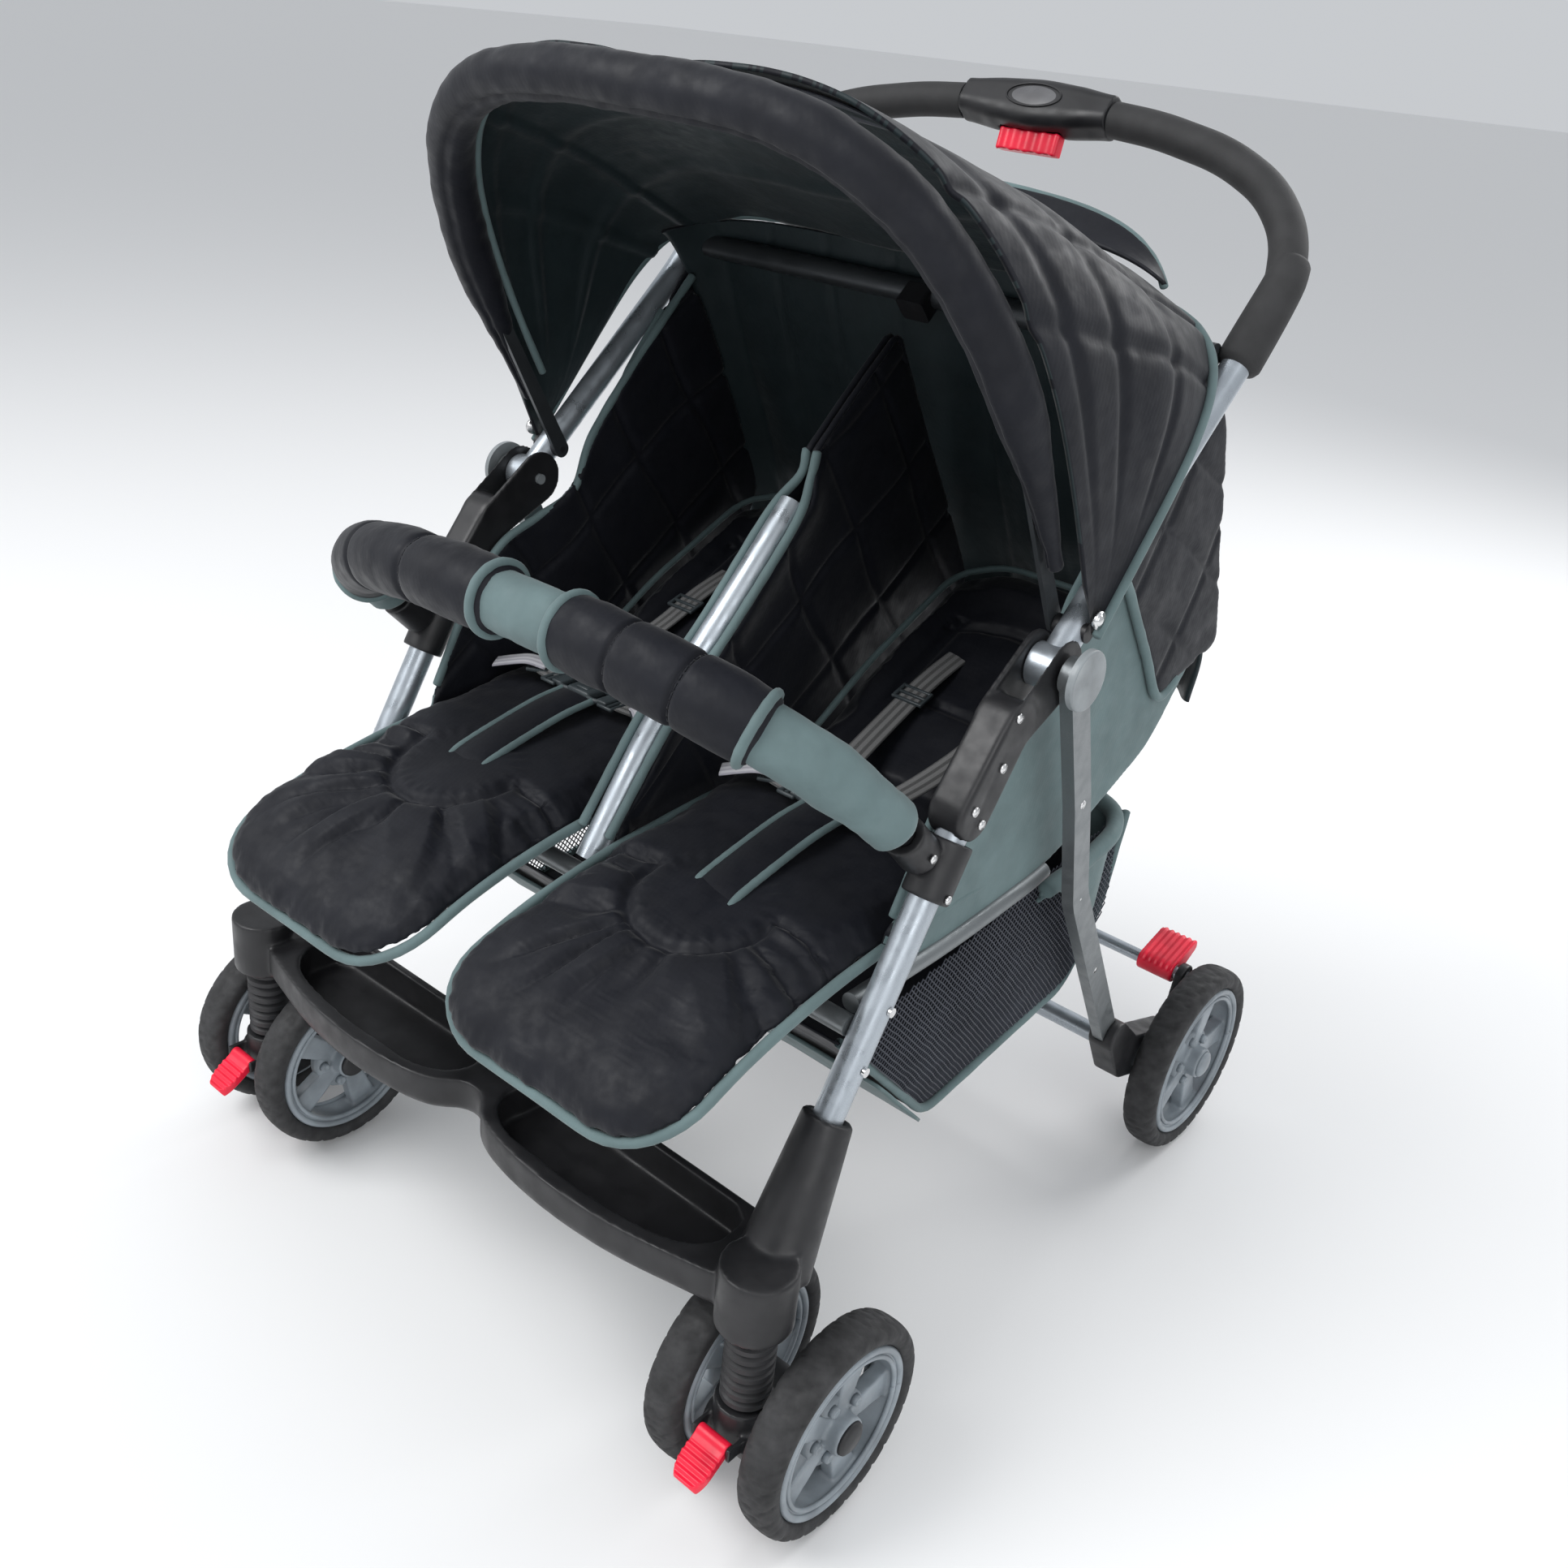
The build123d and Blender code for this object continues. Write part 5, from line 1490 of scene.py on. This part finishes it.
class PUSHCHAIR_OT_hood(bpy.types.Operator):
    """Stretch the quilted hood between its hoop and the handle, with roll and bindings"""
    bl_idname = "pushchair.hood"
    bl_label = "Hood"

    def execute(self, context):
        self.cloth()
        self.roll()
        self.window()
        self.bindings()
        return {"FINISHED"}

    def cloth(self):
        def taut(u, v):
            turn = turn_of(u)
            slack = 0.005 * ripple((u * 7, v * 3.0, 1), 1) + 0.0010 * ripple((u * 18, v * 9, 2), 1)
            slack -= 0.0035 * max(seam((v - s) * 0.35, 0.010) for s in HOOD_SEAMS_ALONG)
            slack -= 0.0035 * max(seam((turn - s) * 0.0055, 0.010) for s in HOOD_SEAMS_ACROSS)
            return hood_point(turn, v, slack * smoothly(math.sin(math.radians(turn)), 0.0, 0.25))

        cloth = cloth_panel("hood_cloth", taut, 240, 84, 0.004, "black cloth", "lining cloth")
        bridge(cloth, "handle", "canopy_hoop", *HOOD_BLEND, "black_fabric", "canopy_cloth")

    def roll(self):
        line = hoop_line(BOW, 2.5, 177.5, 300)

        def size(t):
            end = min(t, 1 - t)
            pucker = 0.0008 * math.sin(t * 260) * ripple((t * 20, 0, 0), 1)
            return 0.0065 + 0.0130 * smoothly(end, 0.0, 0.16) + pucker

        roll = pipe("hood_roll", line, size, "black cloth", 40)
        lean = math.radians(BOW["tilt"])
        middle = BOW_HINGE + Vector((0, math.cos(lean), math.sin(lean))) * 0.2

        def sewn(point, normal):
            inwards = (middle - point).normalized().dot(normal)
            crease = seam(inwards - 0.35, 0.10) * 0.0030
            return 0.0014 * ripple(point, 26) + 0.0006 * ripple(point, 80, 3) - crease

        displace(roll, sewn)
        settle(roll, "canopy_hoop", "black_fabric", "canopy_roll")
        settle(piping("hood_roll_binding", self.inner_edge(), 0.0036), "canopy_hoop", "black_fabric")

    def inner_edge(self):
        """The seam between the roll and the lining, just inside and behind the roll."""
        back = Vector((0, math.sin(math.radians(BOW["tilt"])), -math.cos(math.radians(BOW["tilt"]))))
        small = dict(BOW, half=BOW["half"] - 0.012, depth=BOW["depth"] - 0.012)
        return [p + back * 0.016 for p in hoop_line(small, 4, 176, 200)]

    def window(self):
        def pane(u, v):
            turn = 52 + 62 * u
            share = 0.955 - 0.17 * math.sin(math.pi * u) * v
            return hood_point(turn, share, -0.0062)

        net = cloth_panel("hood_window", pane, 60, 14, 0.0012, "net cloth")
        bridge(net, "handle", "canopy_hoop", *HOOD_BLEND, "mesh_fabric")

    def bindings(self):
        edge = [hood_point(turn_of(i / 239), 0.004, 0.001) for i in range(240)]
        settle(piping("hood_back_binding", edge, 0.0042), "handle", "black_fabric")

        def flap(u, v):
            turn = 58 + 66 * u
            lift = 0.036 * math.sin(math.pi * u) * v
            return hood_point(turn, 0.20 - 0.05 * v, 0.006 + lift)

        cloth = cloth_panel("hood_flap", flap, 60, 8, 0.003, "black cloth")
        settle(cloth, "handle", "black_fabric")
        rim = [hood_point(58 + 66 * u, 0.15, 0.006 + 0.036 * math.sin(math.pi * u))
               for u in np.linspace(0, 1, 70)]
        settle(piping("hood_flap_binding", rim, 0.0034), "handle", "black_fabric")


# ---- basket --------------------------------------------------------------------------------------
BASKET = [(-0.224, 0.357), (-0.078, 0.209), (0.148, 0.245), (0.196, 0.315), (0.214, 0.417)]
BASKET_HALF = 0.268


def in_outline(y, z, outline):
    """Whether a point of the side plane lies inside a closed outline."""
    hits = False
    for (ay, az), (by, bz) in zip(outline, outline[1:] + outline[:1]):
        if (az > z) != (bz > z) and y < (by - ay) * (z - az) / (bz - az) + ay:
            hits = not hits
    return hits


class PUSHCHAIR_OT_basket(bpy.types.Operator):
    """Hang the net basket with its cloth floor, bindings and rear rim"""
    bl_idname = "pushchair.basket"
    bl_label = "Basket"

    def execute(self, context):
        for name, side in SIDES:
            self.net(name, side)
        self.floor()
        self.rim()
        return {"FINISHED"}

    def net(self, name, side):
        pitch = sizes().net_pitch
        rows, columns = int(0.22 / pitch * 2) + 1, int(0.45 / pitch) + 1
        index, points, edges = {}, [], []
        for j in range(rows):
            for i in range(columns):
                y, z = -0.226 + (i + 0.5 * (j % 2)) * pitch, 0.207 + j * pitch / 2
                if in_outline(y, z, BASKET):
                    index[i, j] = len(points)
                    bulge = 0.010 * math.sin(math.pi * min(1, max(0, (z - 0.21) / 0.2)))
                    points.append((side * (BASKET_HALF - 0.004 + bulge), y,
                                   z + 0.0015 * ripple((y, z, 0), 60)))
        for (i, j), k in index.items():
            for di in ((0, -1) if j % 2 == 0 else (0, 1)):
                if (i + di, j + 1) in index:
                    edges.append((k, index[i + di, j + 1]))
        net = grow(f"basket_net_{name}", points, edges, net_tree(), "net cloth", Cord=0.00075)
        settle(net, "frame", "mesh_fabric", *(["basket"] if side > 0 else []))
        line = [Vector((side * BASKET_HALF, y, z)) for y, z in BASKET]
        bound = even([line[0].lerp(line[1], 0.1)] + soften_path(line), 90)
        settle(piping(f"basket_binding_{name}", bound, 0.0042), "frame", "black_fabric")

    def floor(self):
        route = even(soften_path([Vector((0, y, z)) for y, z in BASKET]), 80)

        def bed(u, v):
            here = route[round(v * 79)]
            sag = -0.006 * math.sin(math.pi * u) * math.sin(math.pi * v)
            wave = 0.002 * ripple((u * 8, v * 6, 0), 1)
            return here + Vector((BASKET_HALF * (2 * u - 1), 0, sag + wave))

        cloth = cloth_panel("basket_floor", bed, 70, 79, 0.0025, "smooth black cloth")
        settle(cloth, "frame", "mesh_fabric")
        a, b = (Vector((0, y, z)) for y, z in BASKET[:2])

        def band(u, v):
            here = a.lerp(b, 0.45 + 0.53 * v)
            wave = 0.002 * ripple((u * 9, v * 2, 0), 1)
            return here + Vector((0.272 * (2 * u - 1), -0.0045 + wave, -0.0045))

        front = cloth_panel("basket_front_band", band, 60, 12, 0.003, "trim cloth")
        settle(front, "frame", "black_fabric")

    def rim(self):
        half = [(0.277, 0.060, 0.392), (0.279, 0.130, 0.402), (0.272, 0.186, 0.412), (0.235, 0.216, 0.418),
                (0.12, 0.226, 0.420)]
        path = spline([(-x, y, z) for x, y, z in half] + [(0, 0.228, 0.421)] + half[::-1], 120)

        def band(u, v):
            here = path[round(u * 119)]
            end = smoothly(min(u, 1 - u), 0.02, 0.16)
            return here + Vector((0.0022 * ripple((u * 12, v * 3, 0), 1),
                                  0.003 * ripple((u * 12, v * 3, 5), 1) - 0.010 * v,
                                  -0.085 * v * end - 0.01 * v))

        cloth = cloth_panel("basket_rear_band", band, 119, 16, 0.004, "trim cloth")
        settle(cloth, "frame", "black_fabric")
        roll = pipe("basket_rim_roll", path, lambda t: 0.0085 + 0.0006 * ripple((t * 30, 0, 0), 1),
                    "trim cloth", 20)
        settle(roll, "frame", "black_fabric")


# ---- small fixings --------------------------------------------------------------------------------
class PUSHCHAIR_OT_fixings(bpy.types.Operator):
    """Set the screws, rivets and the hood's press studs"""
    bl_idname = "pushchair.fixings"
    bl_label = "Screws and rivets"

    def execute(self, context):
        groups = {
            ("cover_screws", "frame", 0.0040, 0.0022): [(0.3188, y, z) for y, z in
                ((-0.148, 0.548), (-0.160, 0.563), (-0.130, 0.590), (-0.118, 0.628))],
            ("leg_rivets", "rear_frame", 0.0038, 0.0022): [
                (0.3250, 0.000, 0.519), (0.3185, 0.044, 0.408), (0.3125, 0.120, 0.298),
                (0.3065, 0.205, 0.175)],
            ("hood_studs", "handle", 0.0075, 0.0030): [(0.3255, -0.036, 0.690)],
            ("clamp_screws", "frame", 0.0035, 0.0020): [(0.3245, -0.188, 0.500), (0.3168, -0.205, 0.538)],
        }
        for (name, body, radius, height), spots in groups.items():
            points = [(side * x, y, z) for _, side in SIDES for x, y, z in spots]
            facing = [(side, 0, 0) for _, side in SIDES for _ in spots]
            made = grow(name, points, [], screw_tree(), "bright steel", facing, Radius=radius, Height=height)
            settle(made, body, "steel")
        labels = []
        for (head, foot), (y, z), long in ((REAR_LEG[:2], (0.020, 0.468), 0.056),
                                           (REAR_LEG[1:], (0.120, 0.298), 0.030)):
            along = (head - foot).normalized()
            out = (Vector((1, 0, 0)) - along * along.x).normalized()
            at = foot + along * (Vector((foot.x, y, z)) - foot).dot(along) + out * 0.0063
            labels.append(rounded_block("label", (0.0007, 0.019, long), at, 0.0003, "pale label",
                                        (out, along.cross(out), along)))
        settle(join("leg_labels", labels), "rear_frame", "black_plastic")
        return {"FINISHED"}


# ---- stage ----------------------------------------------------------------------------------------
CAMERA_AT = Vector((0.8411, -1.0605, 1.0816))
CAMERA_YAW, CAMERA_PITCH, CAMERA_ROLL = 0.6648, 0.4487, 0.1056
CAMERA_LENS, CAMERA_SHIFT = 35.58, (-0.00088, -0.01214)


class PUSHCHAIR_OT_stage(bpy.types.Operator):
    """Set up the pale floor, the soft lights and the camera"""
    bl_idname = "pushchair.stage"
    bl_label = "Stage"

    def execute(self, context):
        scene = context.scene
        scene.view_settings.view_transform = "Standard"
        material = bpy.data.materials.new("pale floor")
        material.use_nodes = True
        shader = material.node_tree.nodes["Principled BSDF"]
        shader.inputs["Base Color"].default_value = (0.86, 0.86, 0.86, 1)
        shader.inputs["Roughness"].default_value = 0.9
        mesh = bpy.data.meshes.new("studio_floor")
        mesh.from_pydata([(-60, -60, 0), (60, -60, 0), (60, 60, 0), (-60, 60, 0)], [], [(0, 1, 2, 3)])
        floor = bpy.data.objects.new("studio_floor", mesh)
        mesh.materials.append(material)
        scene.collection.objects.link(floor)
        world = bpy.data.worlds.new("soft sky")
        world.use_nodes = True
        world.node_tree.nodes["Background"].inputs["Color"].default_value = (0.93, 0.96, 1.0, 1)
        world.node_tree.nodes["Background"].inputs["Strength"].default_value = 0.62
        scene.world = world
        lamps = (("key", (-1.4, -2.2, 3.0), 2.4, 100), ("fill", (2.6, -1.6, 2.0), 2.2, 34),
                 ("back", (0.6, 2.8, 2.4), 2.0, 50))
        for name, place, size, power in lamps:
            lamp = bpy.data.lights.new(name, "AREA")
            lamp.size, lamp.energy = size, power
            light = bpy.data.objects.new(name, lamp)
            light.location = place
            light.rotation_mode = "QUATERNION"
            light.rotation_quaternion = (Vector((0, 0, 0.5)) - Vector(place)).to_track_quat("-Z", "Y")
            scene.collection.objects.link(light)
        self.camera(scene)
        return {"FINISHED"}

    def camera(self, scene):
        yaw, pitch, roll = CAMERA_YAW, CAMERA_PITCH, CAMERA_ROLL
        ahead = Vector((-math.sin(yaw) * math.cos(pitch), math.cos(yaw) * math.cos(pitch), -math.sin(pitch)))
        level = Vector((math.cos(yaw), math.sin(yaw), 0))
        above = level.cross(ahead)
        right = level * math.cos(roll) + above * math.sin(roll)
        top = above * math.cos(roll) - level * math.sin(roll)
        data = bpy.data.cameras.new("camera")
        data.lens, data.sensor_width = CAMERA_LENS, 36
        data.shift_x, data.shift_y = CAMERA_SHIFT
        camera = bpy.data.objects.new("camera", data)
        turn = Matrix([right, top, -ahead]).transposed().to_4x4()
        camera.matrix_world = Matrix.Translation(CAMERA_AT) @ turn
        scene.collection.objects.link(camera)
        scene.camera = camera


# ---- sidebar and registration --------------------------------------------------------------------
OPERATORS = (PUSHCHAIR_OT_stage, PUSHCHAIR_OT_tubes, PUSHCHAIR_OT_mouldings, PUSHCHAIR_OT_wheels,
             PUSHCHAIR_OT_handle, PUSHCHAIR_OT_bumper, PUSHCHAIR_OT_seats, PUSHCHAIR_OT_backrests,
             PUSHCHAIR_OT_harness, PUSHCHAIR_OT_sides, PUSHCHAIR_OT_hood, PUSHCHAIR_OT_basket,
             PUSHCHAIR_OT_fixings)


class PUSHCHAIR_PT_dressing(bpy.types.Panel):
    """Lists the pushchair's settings and the pieces in the order they are built"""
    bl_idname = "PUSHCHAIR_PT_dressing"
    bl_label = "Twin pushchair"
    bl_space_type = "VIEW_3D"
    bl_region_type = "UI"
    bl_category = "Pushchair"

    def draw(self, context):
        for settings in (context.scene.pushchair_look, context.scene.pushchair_sizes):
            for key in settings.bl_rna.properties.keys():
                if key not in ("rna_type", "name"):
                    self.layout.prop(settings, key)
        for operator in OPERATORS:
            self.layout.operator(operator.bl_idname)


CLASSES = (PushchairLook, PushchairSizes, *OPERATORS, PUSHCHAIR_PT_dressing)


def register():
    for each in CLASSES:
        bpy.utils.register_class(each)
    bpy.types.Scene.pushchair_look = bpy.props.PointerProperty(type=PushchairLook)
    bpy.types.Scene.pushchair_sizes = bpy.props.PointerProperty(type=PushchairSizes)


def unregister():
    del bpy.types.Scene.pushchair_sizes
    del bpy.types.Scene.pushchair_look
    for each in reversed(CLASSES):
        bpy.utils.unregister_class(each)


def main():
    register()
    for operator in OPERATORS:
        group, call = operator.bl_idname.split(".")
        getattr(getattr(bpy.ops, group), call)()


if __name__ == "__main__":
    main()
